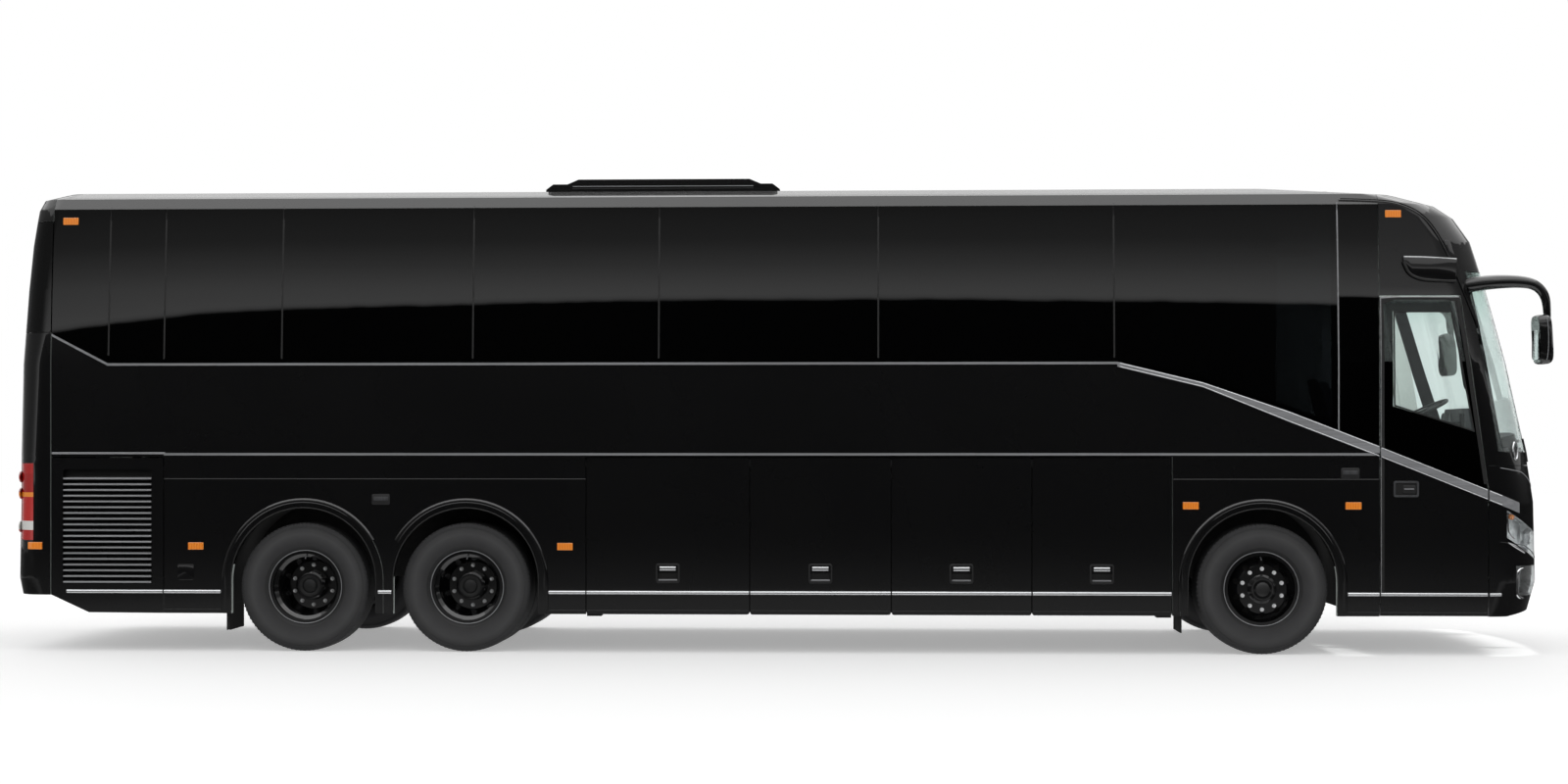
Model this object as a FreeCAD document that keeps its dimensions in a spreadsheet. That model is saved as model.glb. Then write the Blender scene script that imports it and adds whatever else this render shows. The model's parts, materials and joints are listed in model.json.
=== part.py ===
import FreeCAD, Part
import math
import os
import Sketcher

# A three-axle touring coach: a hollow body on axles, with its doors, lids, lamps, seats and wheels.
# +X is forward, +Y is left and +Z is up, in millimetres. The origin is on the ground, at mid length.

SIZES = (
    ("body_length", 12850, "front panel to rear bumper"),
    ("body_width", 2600, "over the side walls"),
    ("roof_height", 3880, "top of the roof skin"),
    ("skirt_height", 320, "bottom edge of the side walls"),
    ("belt_height", 2405, "bottom of the side glass"),
    ("cant_height", 3700, "top of the side glass"),
    ("moulding_height", 1635, "bright line above the luggage doors"),
    ("skirt_line_height", 500, "bright line along the skirt"),
    ("front_overhang", 2400, "front panel to front axle"),
    ("wheelbase", 6570, "front axle to drive axle"),
    ("tandem_spacing", 1360, "drive axle to tag axle"),
    ("wall", 50, "thickness of side walls, doors and lids"),
    ("glazing", 25, "thickness of the bonded side glass"),
    ("panel_gap", 8, "gap round doors, lids and panels"),
    ("glass_gap", 6, "gap between bonded panes"),
    ("running_gap", 0.08, "between a shaft and its bore"),
    ("seat_gap", 0.3, "running clearance at pins and bearings"),
    ("overrun", 400, "how far a cutting solid passes the part that it cuts"),
    ("corner_radius", 400, "front corners in plan"),
    ("rear_corner_radius", 250, "rear corners in plan"),
    ("front_bow_radius", 5000, "front panel in plan"),
    ("rear_bow_radius", 12000, "rear panel in plan"),
    ("front_rake", 500, "how far the screen leans back"),
    ("rear_rake", 100, "how far the rear wall leans forward"),
    ("tumblehome", 78, "how far the side glass leans in"),
    ("crown_setback", 600, "edge of the flat of the roof"),
    ("tyre_radius", 538, "to the tread"),
    ("tyre_width", 315, "across the side walls"),
    ("bead_radius", 286, "where the tyre sits on the rim"),
    ("rim_width", 240, "over the rim flanges"),
    ("rim_flange_radius", 308, "outer edge of the rim"),
    ("rim_well_radius", 258, "drop centre of the rim"),
    ("rim_metal", 11, "thickness of the rim and its disc"),
    ("wheel_inset", 30, "side wall to the face of the tyre"),
    ("disc_offset", 150, "wheel centre to the face of the disc"),
    ("twin_spacing", 350, "between twin wheels"),
    ("hub_radius", 95, "hub cap"),
    ("hub_cap_length", 30, "hub cap beyond the disc of a front wheel"),
    ("drive_hub_length", 150, "hub beyond the disc of a drive wheel"),
    ("stud_circle_radius", 167.5, "wheel nuts"),
    ("hand_hole_radius", 26, "ventilation holes in the wheel disc"),
    ("hand_hole_circle_radius", 214, "centres of the ventilation holes"),
    ("spindle_radius", 60, "wheel bearing"),
    ("arch_radius", 605, "opening round a wheel"),
    ("arch_lip", 66, "width of the band round a wheel opening"),
    ("arch_lip_depth", 8, "how far that band stands proud"),
    ("arch_centre_height", 592, "centre of the wheel openings"),
    ("housing_gap", 30, "wheel opening to wheel housing"),
    ("housing_metal", 12, "thickness of a wheel housing"),
    ("housing_depth", 700, "wheel housing from the side wall inwards"),
    ("kingpin_inset", 280, "side wall to kingpin"),
    ("kingpin_radius", 32, "kingpin"),
    ("kingpin_length", 260, "kingpin, top to bottom"),
    ("eye_radius", 58, "eye of the front beam"),
    ("eye_height", 120, "eye of the front beam, top to bottom"),
    ("beam_size", 110, "front beam, across"),
    ("beam_drop", 90, "how far the front beam is cranked down"),
    ("axle_tube_radius", 80, "drive and tag axle tubes"),
    ("differential_radius", 230, "drive axle, middle"),
    ("differential_width", 380, "drive axle, middle"),
    ("brake_radius", 200, "brake drum"),
    ("brake_width", 130, "brake drum"),
    ("air_spring_radius", 110, "bellows"),
    ("air_spring_spread", 430, "middle of the coach to a bellows"),
    ("rail_spread", 480, "middle of the coach to a chassis rail"),
    ("rail_width", 90, "chassis rail, across"),
    ("rail_depth", 200, "chassis rail, top to bottom"),
    ("front_rail_height", 740, "front rails above the ground"),
    ("rail_height", 980, "bottom of the chassis rails"),
    ("floor_height", 1600, "top of the passenger floor"),
    ("floor_thickness", 60, "passenger floor"),
    ("bay_floor_height", 430, "top of the luggage floor"),
    ("bay_floor_thickness", 40, "luggage floor"),
    ("bay_start", 1004, "drive axle to the first luggage door"),
    ("bay_end", 738, "last luggage door to front axle"),
    ("bulkhead", 30, "bulkheads between the luggage bays"),
    ("rear_seam", 388, "rear corner panel, along the side"),
    ("service_door_length", 954, "service door behind the tag axle"),
    ("door_setback", 1450, "front panel to the rear edge of the entry door"),
    ("door_front_setback", 572, "front panel to the front edge of the entry door"),
    ("door_top_height", 2942, "top of the entry door"),
    ("door_top_setback", 793, "front panel to the top front corner of the entry door"),
    ("door_kink_height", 1353, "where the front edge of the entry door starts to lean"),
    ("strip_start", 3585, "front panel to the rear end of the sloping strip"),
    ("strip_width", 85, "sloping strip below the front side glass"),
    ("strip_taper", 45, "how much slimmer the strip is towards its rear end"),
    ("strip_rear_height", 2320, "lower edge of the sloping strip, rear end"),
    ("strip_knot", 700, "spacing of the strip's first bends"),
    ("strip_second_height", 2150, "lower edge of the sloping strip at its second bend"),
    ("strip_third_height", 1911, "lower edge of the sloping strip at its third bend"),
    ("strip_door_height", 1625, "lower edge of the sloping strip at the rear of the door"),
    ("strip_front_height", 1271, "lower edge of the sloping strip at the front of the door"),
    ("driver_glass_top", 2860, "top of the glass beside the driver"),
    ("door_sight_rear_height", 2040, "lower rear corner of the door's view"),
    ("door_sight_front_height", 1830, "lower front corner of the door's view"),
    ("door_sight_top_margin", 69, "front edge of the door's view from its top corner"),
    ("trim_depth", 10, "how far bright mouldings stand proud"),
    ("trim_height", 20, "bright mouldings, top to bottom"),
    ("rear_kink_height", 2653, "belt line at the rear corner"),
    ("rear_kink_length", 870, "rear bumper to where the belt line is level"),
    ("screen_bottom_height", 1665, "bottom of the windscreen"),
    ("screen_top_height", 3150, "top of the windscreen"),
    ("screen_glass", 16, "thickness of the windscreen"),
    ("pillar_low_setback", 490, "front panel to the windscreen's side edge, at its bottom"),
    ("pillar_high_setback", 740, "front panel to the windscreen's side edge, at its top"),
    ("post_width", 90, "side window posts"),
    ("rail_band", 70, "frame above and below the side windows"),
    ("lamp_depth", 110, "how deep a lamp sits in its panel"),
    ("lamp_gap", 3, "gap round a lamp"),
    ("cowl_height", 110, "panel between the front mask and the windscreen"),
    ("front_sweep", 80, "how far the bottom of the bumper rises at the front"),
    ("rear_sweep", 150, "how far the bottom of the body rises at the rear corner"),
    ("lid_bottom_height", 905, "bottom of the engine lid"),
    ("lid_top_height", 1950, "top of the engine lid"),
    ("lid_half_width", 930, "engine lid, half across"),
    ("rear_glass_bottom_height", 2665, "bottom of the rear window"),
    ("rear_glass_top_height", 3600, "top of the rear window"),
    ("rear_sight_half_width", 950, "opening behind the rear window, half across"),
    ("rear_sight_inset", 90, "frame behind the rear window"),
    ("headlamp_top_height", 1187, "headlamp, rear upper corner"),
    ("headlamp_bottom_height", 965, "headlamp, rear lower corner"),
    ("headlamp_setback", 420, "front panel to the headlamp's rear edge"),
    ("headlamp_fall", 270, "how far the headlamp falls towards the middle"),
    ("headlamp_inner", 640, "middle of the coach to the headlamp"),
    ("fog_top_height", 735, "fog lamp"),
    ("fog_bottom_height", 485, "fog lamp"),
    ("fog_setback", 340, "front panel to the fog lamp's rear edge"),
    ("fog_inner", 820, "middle of the coach to the fog lamp"),
    ("tail_top_height", 1570, "tail lamp"),
    ("tail_bottom_height", 925, "tail lamp"),
    ("tail_length", 235, "rear bumper to the tail lamp's front edge"),
    ("tail_inner", 1040, "middle of the coach to the tail lamp"),
    ("marker_length", 130, "side marker lamp"),
    ("marker_height", 60, "side marker lamp"),
    ("handle_width", 190, "luggage door handle recess"),
    ("handle_height", 150, "luggage door handle recess"),
    ("handle_depth", 28, "luggage door handle recess"),
    ("handle_bottom_height", 585, "luggage door handle recess"),
    ("panel_radius", 18, "corners of doors and recesses"),
    ("louvre_margin", 98, "frame round the louvres of the service door"),
    ("louvre_pitch", 48, "between louvres"),
    ("louvre_blade", 34, "one louvre, top to bottom"),
    ("louvre_metal", 8, "one louvre, thickness"),
    ("door_glass_margin", 112, "entry door's edge to its clear glass, in front and above"),
    ("door_pane_margin", 16, "entry door's edge to its pane"),
    ("door_sight_top_setback", 124, "door top to the top of the clear glass"),
    ("door_arm_length", 500, "entry door arms, pin to pin"),
    ("door_arm_radius", 17, "entry door arms"),
    ("door_post_radius", 24, "entry door's turning post"),
    ("door_post_inset", 150, "side wall's outer face to the turning post"),
    ("door_post_setback", 175, "front edge of the door to the turning post"),
    ("door_post_top_height", 1980, "turning post"),
    ("door_arm_low_height", 800, "lower door arm"),
    ("door_arm_high_height", 1900, "upper door arm"),
    ("door_bracket", 50, "bracket on the door leaf, across"),
    ("platform_height", 1200, "driver's floor"),
    ("platform_inner", 350, "middle of the coach to the driver's floor, on the door side"),
    ("floor_front_setback", 1695, "front panel to the front edge of the passenger floor"),
    ("shelf_setback", 130, "rear shelf of the floor from the rear"),
    ("floor_rear_setback", 330, "rear bumper to the passenger floor"),
    ("first_step_height", 420, "first entry step"),
    ("step_thickness", 40, "entry steps"),
    ("step_setback", 70, "side wall's outer face to the entry steps"),
    ("aisle_step_depth", 250, "steps up to the aisle"),
    ("row_pitch", 790, "between seat rows"),
    ("row_start", 760, "rear bumper to the last seat row"),
    ("seat_width", 900, "double seat"),
    ("seat_wall_gap", 45, "side wall's inner face to a seat"),
    ("seat_depth", 460, "seat cushion"),
    ("seat_height", 450, "seat cushion above the floor"),
    ("seat_back_height", 1130, "seat back above the floor"),
    ("seat_thickness", 110, "seat cushion and back"),
    ("seat_lean", 170, "how far the seat back leans"),
    ("seat_leg", 60, "seat pedestal, along the coach"),
    ("rack_depth", 420, "luggage rack from the wall"),
    ("rack_height", 230, "luggage rack, top to bottom"),
    ("rack_bottom_height", 3330, "underside of the luggage racks"),
    ("rack_metal", 25, "luggage rack panels"),
    ("engine_length", 1250, "engine block"),
        ("engine_bottom_height", 450, "engine block"),
    ("engine_height", 900, "engine block, top to bottom"),
    ("engine_setback", 190, "rear bumper to the engine block"),
    ("unit_rear_x", -1925, "roof air unit, rear end of its base"),
    ("unit_length", 1975, "roof air unit"),
    ("unit_half_width", 950, "roof air unit, half across"),
    ("unit_step_height", 3925, "roof air unit, top of its base tier"),
    ("unit_top_height", 3980, "roof air unit, top"),
    ("unit_slope", 260, "roof air unit, sloping ends of its upper tier"),
    ("unit_base_slope", 60, "roof air unit, sloping ends of its base tier"),
    ("mirror_arm_radius", 46, "mirror arm at its root"),
    ("mirror_root_setback", 700, "front panel to the mirror arm's root"),
    ("mirror_root_height", 3045, "mirror arm's root"),
    ("mirror_reach", 1420, "middle of the coach to the mirror head"),
    ("mirror_front_setback", 200, "front panel to the mirror head"),
    ("mirror_head_height", 400, "mirror head, top to bottom"),
    ("mirror_head_width", 250, "mirror head, across"),
    ("mirror_head_depth", 170, "mirror head, along the coach"),
    ("mirror_head_bottom_height", 2400, "mirror head"),
    ("flap_thickness", 10, "rubber mud flaps"),
    ("flap_clearance", 170, "road to the mud flaps"),
    ("wiper_radius", 10, "wiper arm"),
    ("wiper_lift", 24, "glass to the wiper arm"),
    ("wiper_span", 1000, "half the windscreen swept by a wiper blade"),
    ("tow_bore_radius", 22, "towing socket"),
    ("tow_socket_radius", 38, "towing socket, outside"),
    ("tow_socket_length", 160, "towing socket"),
    ("tow_height", 560, "towing socket"),
    ("tow_offset", 520, "middle of the coach to the towing socket"),
    ("jack_pad", 120, "jacking pad, square"),
    ("jack_pad_height", 300, "underside of the jacking pads"),
    ("steering_wheel_radius", 230, "steering wheel"),
    ("steering_rim_radius", 17, "steering wheel rim"),
    ("steering_setback", 620, "front panel to the steering wheel"),
    ("steering_height", 2030, "middle of the steering wheel"),
    ("driver_offset", 640, "middle of the coach to the driver"),
    ("dash_height", 1830, "top of the dashboard"),
    ("dash_depth", 560, "dashboard, along the coach"),
    ("dash_half_width", 1080, "dashboard, half across"),
    ("steering_lean", 25, "lean of the steering wheel in degrees"),
    ("steering_column_radius", 28, "steering column"),
    ("steering_column_length", 520, "steering column"),
    ("mirror_bend", 140, "bends of a mirror's arm"),
    ("marker_top_x", 5097, "lamp over the door"),
    ("marker_top_height", 3619, "lamp over the door"),
    ("marker_rear_x", -5891, "high rear lamp"),
    ("marker_rear_height", 3600, "high rear lamp"),
    ("marker_bumper_x", -6174, "lamp on the rear bumper"),
    ("marker_tail_x", -4810, "lamp behind the tag axle"),
    ("marker_middle_x", -1716, "lamp ahead of the drive axle"),
    ("marker_low_height", 880, "rear side lamps"),
    ("marker_bay_x", 3438, "lamp behind the front wheel"),
    ("marker_arch_x", 4760, "lamp ahead of the front wheel"),
    ("marker_front_height", 1224, "front side lamps"),
    ("strip_setback", 310, "end of the sloping strip behind the nose"),
    ("wiper_offset", 1020, "wiper pivots from the middle"),
    ("dash_lead", 60, "slope of the dashboard towards the driver"),
    ("dash_setback", 460, "driver's edge of the dashboard behind the nose"),
    ("dash_low_height", 1450, "underside of the dashboard"),
    ("binnacle_height", 2050, "instrument cowl"),
    ("binnacle_length", 320, "instrument cowl"),
    ("binnacle_half_width", 300, "instrument cowl"),
    ("hinge_inset", 12, "lid hinge pin ahead of the rearmost point"),
    ("hinge_pin_radius", 6, "lid hinge"),
    ("hinge_barrel_radius", 10, "lid hinge"),
    ("hinge_spread", 320, "lid hinges from the middle"),
    ("hinge_width", 50, "lid hinge leaf"),
    ("hinge_root", 40, "depth of a hinge leaf"),
    ("axle_notch", 120, "cut-out over an axle in the wheel housing"),
)

document = FreeCAD.newDocument("coach")
sheet = document.addObject("Spreadsheet::Sheet", "Sizes")
for row, (alias, amount, meaning) in enumerate(SIZES, start=1):
    sheet.set(f"A{row}", meaning)
    sheet.set(f"B{row}", str(amount))
    sheet.setAlias(f"B{row}", alias)
document.recompute()


class Size:
    """A size worked out from the sheet: the expression that gives it, and its number."""

    def __init__(self, text, number):
        self.text = text
        self.number = number

    def __float__(self):
        return float(self.number)

    def __add__(self, other):
        return Size(f"({self.text} + {text_of(other)})", float(self) + float(other))

    def __radd__(self, other):
        return Size(f"({text_of(other)} + {self.text})", float(other) + float(self))

    def __sub__(self, other):
        return Size(f"({self.text} - {text_of(other)})", float(self) - float(other))

    def __rsub__(self, other):
        return Size(f"({text_of(other)} - {self.text})", float(other) - float(self))

    def __mul__(self, other):
        return Size(f"({self.text} * {text_of(other)})", float(self) * float(other))

    def __rmul__(self, other):
        return Size(f"({text_of(other)} * {self.text})", float(other) * float(self))

    def __truediv__(self, other):
        return Size(f"({self.text} / {text_of(other)})", float(self) / float(other))

    def __neg__(self):
        return Size(f"(-1 * {self.text})", -float(self))


def text_of(value):
    """The expression of a size, or a plain count written out."""
    if isinstance(value, Size):
        return value.text
    return repr(value)


class Cells:
    """Every cell of the sheet under its own name."""

    def __init__(self):
        for alias, _amount, _meaning in SIZES:
            setattr(self, alias, Size(f"Sizes.{alias}", float(sheet.get(alias))))


size = Cells()
RIGHT = -1
LEFT = 1
SIDES = ((RIGHT, "right"), (LEFT, "left"))
subparts = {}


def subpart(name, item):
    """Give a finished piece its name, which is also its file's."""
    item.Label = name
    subparts[name] = item
    return item


def bind(item, prop, value):
    """Tie a property to the sheet, or set it where the value is zero."""
    if isinstance(value, Size):
        item.setExpression(prop, value.text)


def place(item, x=0, y=0, z=0):
    """Set where a piece stands."""
    bind(item, ".Placement.Base.x", x)
    bind(item, ".Placement.Base.y", y)
    bind(item, ".Placement.Base.z", z)
    return item


def block(name, low, high):
    """A box between two corners."""
    item = document.addObject("Part::Box", name)
    for prop, start, end in zip(("Length", "Width", "Height"), low, high):
        bind(item, prop, end - start)
    return place(item, *low)


def rod(name, radius, start, length, along="Z"):
    """A cylinder from its start, along one axis."""
    item = document.addObject("Part::Cylinder", name)
    bind(item, "Radius", radius)
    bind(item, "Height", length)
    turns = {"X": FreeCAD.Rotation(FreeCAD.Vector(0, 1, 0), 90),
             "Y": FreeCAD.Rotation(FreeCAD.Vector(-1, 0, 0), 90),
             "Z": FreeCAD.Rotation()}
    item.Placement = FreeCAD.Placement(FreeCAD.Vector(), turns[along])
    return place(item, *start)


def draw(sketch, path):
    """Add one closed outline. An edge that leaves (a, b, radius, turn) is an arc, +1 anticlockwise."""
    points = [FreeCAD.Vector(float(corner[0]), float(corner[1]), 0) for corner in path]
    ends = []
    arcs = []
    for step, corner in enumerate(path):
        start = points[step]
        end = points[(step + 1) % len(path)]
        if len(corner) == 2:
            ends.append((sketch.addGeometry(Part.LineSegment(start, end)), 1, 2))
            continue
        radius, turn = corner[2:]
        chord = end - start
        rise = math.sqrt(max(float(radius) ** 2 - chord.Length ** 2 / 4, 0))
        across = FreeCAD.Vector(-chord.y, chord.x, 0).normalize()
        centre = (start + end) / 2 + across * rise * turn
        circle = Part.Circle(centre, FreeCAD.Vector(0, 0, 1), float(radius))
        first, last = (start, end) if turn > 0 else (end, start)
        arc = Part.ArcOfCircle(circle, circle.parameter(first), circle.parameter(last))
        edge = sketch.addGeometry(arc)
        ends.append((edge, 1, 2) if turn > 0 else (edge, 2, 1))
        arcs.append((edge, radius))
    for step, (edge, near, _far) in enumerate(ends):
        before, _near, far = ends[step - 1]
        sketch.addConstraint(Sketcher.Constraint("Coincident", before, far, edge, near))
        for kind, value in zip(("DistanceX", "DistanceY"), path[step][:2]):
            rule = sketch.addConstraint(Sketcher.Constraint(kind, -1, 1, edge, near, float(value)))
            bind(sketch, f"Constraints[{rule}]", value)
    for edge, radius in arcs:
        rule = sketch.addConstraint(Sketcher.Constraint("Radius", edge, float(radius)))
        bind(sketch, f"Constraints[{rule}]", radius)


def sketched(name, plane, paths, offset=0):
    """A body with one sketch on its own origin plane."""
    body = document.addObject("PartDesign::Body", name)
    support = [item for item in body.Origin.OriginFeatures if item.Role == plane + "_Plane"][0]
    sketch = body.newObject("Sketcher::SketchObject", name + "_outline")
    sketch.AttachmentSupport = [(support, "")]
    sketch.MapMode = "FlatFace"
    bind(sketch, "AttachmentOffset.Base.z", offset)
    for path in paths:
        draw(sketch, path)
    return body, sketch


def pad(name, plane, paths, low, high):
    """An outline made solid between two positions across its plane. XZ faces -Y."""
    offset = -high if plane == "XZ" else low
    body, sketch = sketched(name, plane, paths, offset)
    feature = body.newObject("PartDesign::Pad", name + "_pad")
    feature.Profile = sketch
    bind(feature, "Length", high - low)
    return body


def lathe(name, path, x=0, y=0, z=0):
    """An outline of (along the axle, radius) turned about the axle, which lies along Y."""
    body, sketch = sketched(name, "YZ", [path])
    feature = body.newObject("PartDesign::Revolution", name + "_turned")
    feature.Profile = sketch
    feature.ReferenceAxis = (sketch, ["H_Axis"])
    feature.Angle = 360
    return place(body, x, y, z)


def join(name, items):
    """Pieces welded into one."""
    item = document.addObject("Part::MultiFuse", name)
    item.Shapes = items
    return item


def cut(name, base, tool):
    """A piece with another's space taken out of it."""
    item = document.addObject("Part::Cut", name)
    item.Base = base
    item.Tool = tool
    return item


def group(name, items):
    """Like pieces that don't touch, kept together."""
    item = document.addObject("Part::Compound", name)
    item.Links = items
    return item


def mirrored(name, source):
    """The same piece on the other side of the coach."""
    item = document.addObject("Part::Mirroring", name)
    item.Source = source
    item.Normal = FreeCAD.Vector(0, 1, 0)
    return item


def formed(name, shape):
    """A piece whose curved shape is worked out here from the sheet."""
    item = document.addObject("Part::Feature", name)
    item.Shape = shape
    return item


def box_path(a_low, b_low, a_high, b_high):
    """A rectangle, anticlockwise."""
    return [(a_low, b_low), (a_high, b_low), (a_high, b_high), (a_low, b_high)]


def soft_path(a_low, b_low, a_high, b_high, radius):
    """A rectangle with rounded corners, anticlockwise."""
    return [(a_low + radius, b_low), (a_high - radius, b_low, radius, 1),
            (a_high, b_low + radius), (a_high, b_high - radius, radius, 1),
            (a_high - radius, b_high), (a_low + radius, b_high, radius, 1),
            (a_low, b_high - radius), (a_low, b_low + radius, radius, 1)]


front_x = size.body_length / 2
rear_x = -size.body_length / 2
side_y = size.body_width / 2
front_axle_x = front_x - size.front_overhang
drive_axle_x = front_axle_x - size.wheelbase
tag_axle_x = drive_axle_x - size.tandem_spacing
rear_seam_x = rear_x + size.rear_seam
service_door_x = rear_seam_x + size.service_door_length
bay_start_x = drive_axle_x + size.bay_start
bay_end_x = front_axle_x - size.bay_end
door_rear_x = front_x - size.door_setback
door_front_x = front_x - size.door_front_setback
door_top_x = front_x - size.door_top_setback
strip_rear_x = front_x - size.strip_start
rear_kink_x = rear_x + size.rear_kink_length
bay_door_top = size.moulding_height - size.trim_height
wheel_y = side_y - size.wheel_inset - size.tyre_width / 2
wheel_z = size.tyre_radius
bay_division_shares = (0, 0.2813, 0.5234, 0.7626, 1)
bay_posts = [bay_start_x + (bay_end_x - bay_start_x) * share for share in bay_division_shares]
strip_full_x = strip_rear_x + size.strip_knot * 2
strip_knots = [(strip_rear_x, size.strip_rear_height),
               (strip_rear_x + size.strip_knot, size.strip_second_height),
               (strip_full_x, size.strip_third_height),
               (door_rear_x, size.strip_door_height), (door_front_x, size.strip_front_height)]


def strip_height(x):
    """The lower edge of the sloping strip at one station, straight between its bends."""
    number = sum(1 for bend, _height in strip_knots[1:-1] if float(bend) < float(x))
    (rear, high), (front, low) = strip_knots[number:number + 2]
    return high - (x - rear) * ((high - low) / (front - rear))


def strip_line(rear, front, lift):
    """Points along the strip between two stations, with its bends, raised by a lift."""
    bends = [bend for bend, _height in strip_knots if float(rear) < float(bend) < float(front)]
    return [(x, strip_height(x) + lift) for x in [rear] + bends + [front]]


# Body shell: horizontal outlines stacked from the skirt to the roof, with bowed ends and rounded corners.
# Each row: the level, then how far front, rear and sides are set in, and how far a lining drops, as shares.
lower_level_shares = ((0.12, 0.19, 0.65, 0, 0), (0.25, 0.014, 0, 0, 0), (0.52, 0.044, 0.12, 0, 0),
                      (0.69, 0.17, 0.14, 0, 0), (1, 0.5, 0.3, 0, 0))
window_level_shares = ((0.475, 0.83, 0.68, 0.385, 0), (0.77, 1.07, 1, 0.72, 0),
                       (0.92, 1.34, 1.28, 0.9, 0.3), (1, 1.65, 1.45, 1, 0.6))
roof_level_shares = ((0.5, 2.3, 1.8, 1.57, 1), (0.84, 4.05, 3.4, 3.33, 1))


def corner(end, facing, half, radius, bow_radius):
    """Where a corner arc meets the side and the bowed end, and its middle."""
    side_run = half - radius
    base = math.sqrt((bow_radius - radius) ** 2 - side_run ** 2)
    centre = end - facing * (bow_radius - base)
    lean = math.atan2(side_run, base)
    middle = (lean + math.pi / 2) / 2
    return ((centre, half),
            (centre + facing * radius * math.cos(middle), side_run + radius * math.sin(middle)),
            (end - facing * bow_radius * (1 - math.cos(lean)), bow_radius * math.sin(lean)))


def plan_outline(level, front, rear, half, inset):
    """The coach's outline at one level, set in by a wall."""
    nose = corner(front - inset, 1, half - inset, float(size.corner_radius) - inset,
                  float(size.front_bow_radius) - inset)
    tail = corner(rear + inset, -1, half - inset, float(size.rear_corner_radius) - inset,
                  float(size.rear_bow_radius) - inset)

    def at(point, side):
        return FreeCAD.Vector(point[0], side * point[1], level)

    nose_tip = FreeCAD.Vector(front - inset, 0, level)
    tail_tip = FreeCAD.Vector(rear + inset, 0, level)
    edges = [Part.makeLine(at(tail[0], -1), at(nose[0], -1)),
             Part.Arc(at(nose[0], -1), at(nose[1], -1), at(nose[2], -1)).toShape(),
             Part.Arc(at(nose[2], -1), nose_tip, at(nose[2], 1)).toShape(),
             Part.Arc(at(nose[2], 1), at(nose[1], 1), at(nose[0], 1)).toShape(),
             Part.makeLine(at(nose[0], 1), at(tail[0], 1)),
             Part.Arc(at(tail[0], 1), at(tail[1], 1), at(tail[2], 1)).toShape(),
             Part.Arc(at(tail[2], 1), tail_tip, at(tail[2], -1)).toShape(),
             Part.Arc(at(tail[2], -1), at(tail[1], -1), at(tail[0], -1)).toShape()]
    return Part.Wire(edges)


def levels():
    """Every level of the shell: height, front, rear, half width and lining drop."""
    bands = ((0, float(size.belt_height), lower_level_shares),
             (float(size.belt_height), float(size.cant_height - size.belt_height), window_level_shares),
             (float(size.cant_height), float(size.roof_height - size.cant_height), roof_level_shares))
    found = []
    for bottom, rise, shares in bands:
        for up, front, rear, side, drop in shares:
            found.append((bottom + rise * up,
                          float(front_x) - float(size.front_rake) * front,
                          float(rear_x) + float(size.rear_rake) * rear,
                          float(side_y) - float(size.tumblehome) * side,
                          drop))
    return found


def envelope(inset):
    """The whole coach as one solid, set in by a wall."""
    inset = float(inset)
    outlines = []
    for height, front, rear, half, drop in levels():
        outlines.append(plan_outline(height - inset * drop, front, rear, half, inset))
    height, front, rear, half, drop = levels()[-1]
    setback = float(size.crown_setback)
    crown = plan_outline(float(size.roof_height) - inset, front - setback, rear + setback,
                         half - setback, inset)
    walls = Part.makeLoft(outlines, True, True)
    cap = Part.makeLoft([outlines[-1], crown], True, True)
    return walls.fuse(cap)


def slab(points, start=None, end=None):
    """A prism over an outline of (x, z) points, from one side of the coach towards the other."""
    start = float(-side_y - size.overrun) if start is None else float(start)
    end = float(side_y + size.overrun) if end is None else float(end)
    corners = [FreeCAD.Vector(float(x), start, float(z)) for x, z in points]
    face = Part.Face(Part.makePolygon(corners + corners[:1]))
    return face.extrude(FreeCAD.Vector(0, end - start, 0))


def span(x_low, z_low, x_high, z_high, start=None, end=None):
    """A rectangular prism across the coach."""
    return slab(box_path(x_low, z_low, x_high, z_high), start, end)


def both_sides(low, high, points):
    """The same prism on the right and on the left."""
    return slab(points, -high, -low).fuse(slab(points, low, high))


hull = envelope(0)
hull_in_glass = envelope(size.glazing)
hull_in_screen = envelope(size.screen_glass)
hull_in_wall = envelope(size.wall)
hull_in_frame = envelope(size.glazing + size.wall)
shell = hull.cut(hull_in_wall)
glass_layer = hull.cut(hull_in_glass)
screen_layer = hull.cut(hull_in_screen)
frame_layer = hull_in_glass.cut(hull_in_frame)

high_z = size.roof_height + size.overrun
low_z = size.skirt_height
far_front_x = front_x + size.overrun
far_rear_x = rear_x - size.overrun
gap = size.panel_gap
half_gap = size.panel_gap / 2

# Side windows: bonded panes over a frame of posts. Each share is a post's place along the glazed length.
post_shares = (0, 0.0438, 0.0866, 0.1767, 0.3222, 0.4630, 0.6279, 0.8039, 0.9697, 1)
glazed_length = door_rear_x - rear_seam_x
posts = [rear_seam_x + glazed_length * share for share in post_shares]


def sill_height(x):
    """Bottom of the side glass: level, rising at the rear corner and falling along the strip."""
    if float(x) < float(rear_kink_x):
        rise = (size.rear_kink_height - size.belt_height) / (rear_kink_x - rear_seam_x)
        return size.belt_height + (rear_kink_x - x) * rise
    if float(x) > float(strip_rear_x):
        return strip_height(x) + size.strip_width
    return size.belt_height


def pane(rear, front, inset):
    """The outline of the glass between two posts, drawn in by a margin."""
    a = rear + inset
    b = front - inset
    points = [(a, sill_height(a) + inset), (b, sill_height(b) + inset)]
    bends = [bend for bend, _height in strip_knots if float(a) < float(bend) < float(b)]
    points[1:1] = [(bend, sill_height(bend) + inset) for bend in bends]
    return points + [(b, size.cant_height - inset), (a, size.cant_height - inset)]


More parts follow.
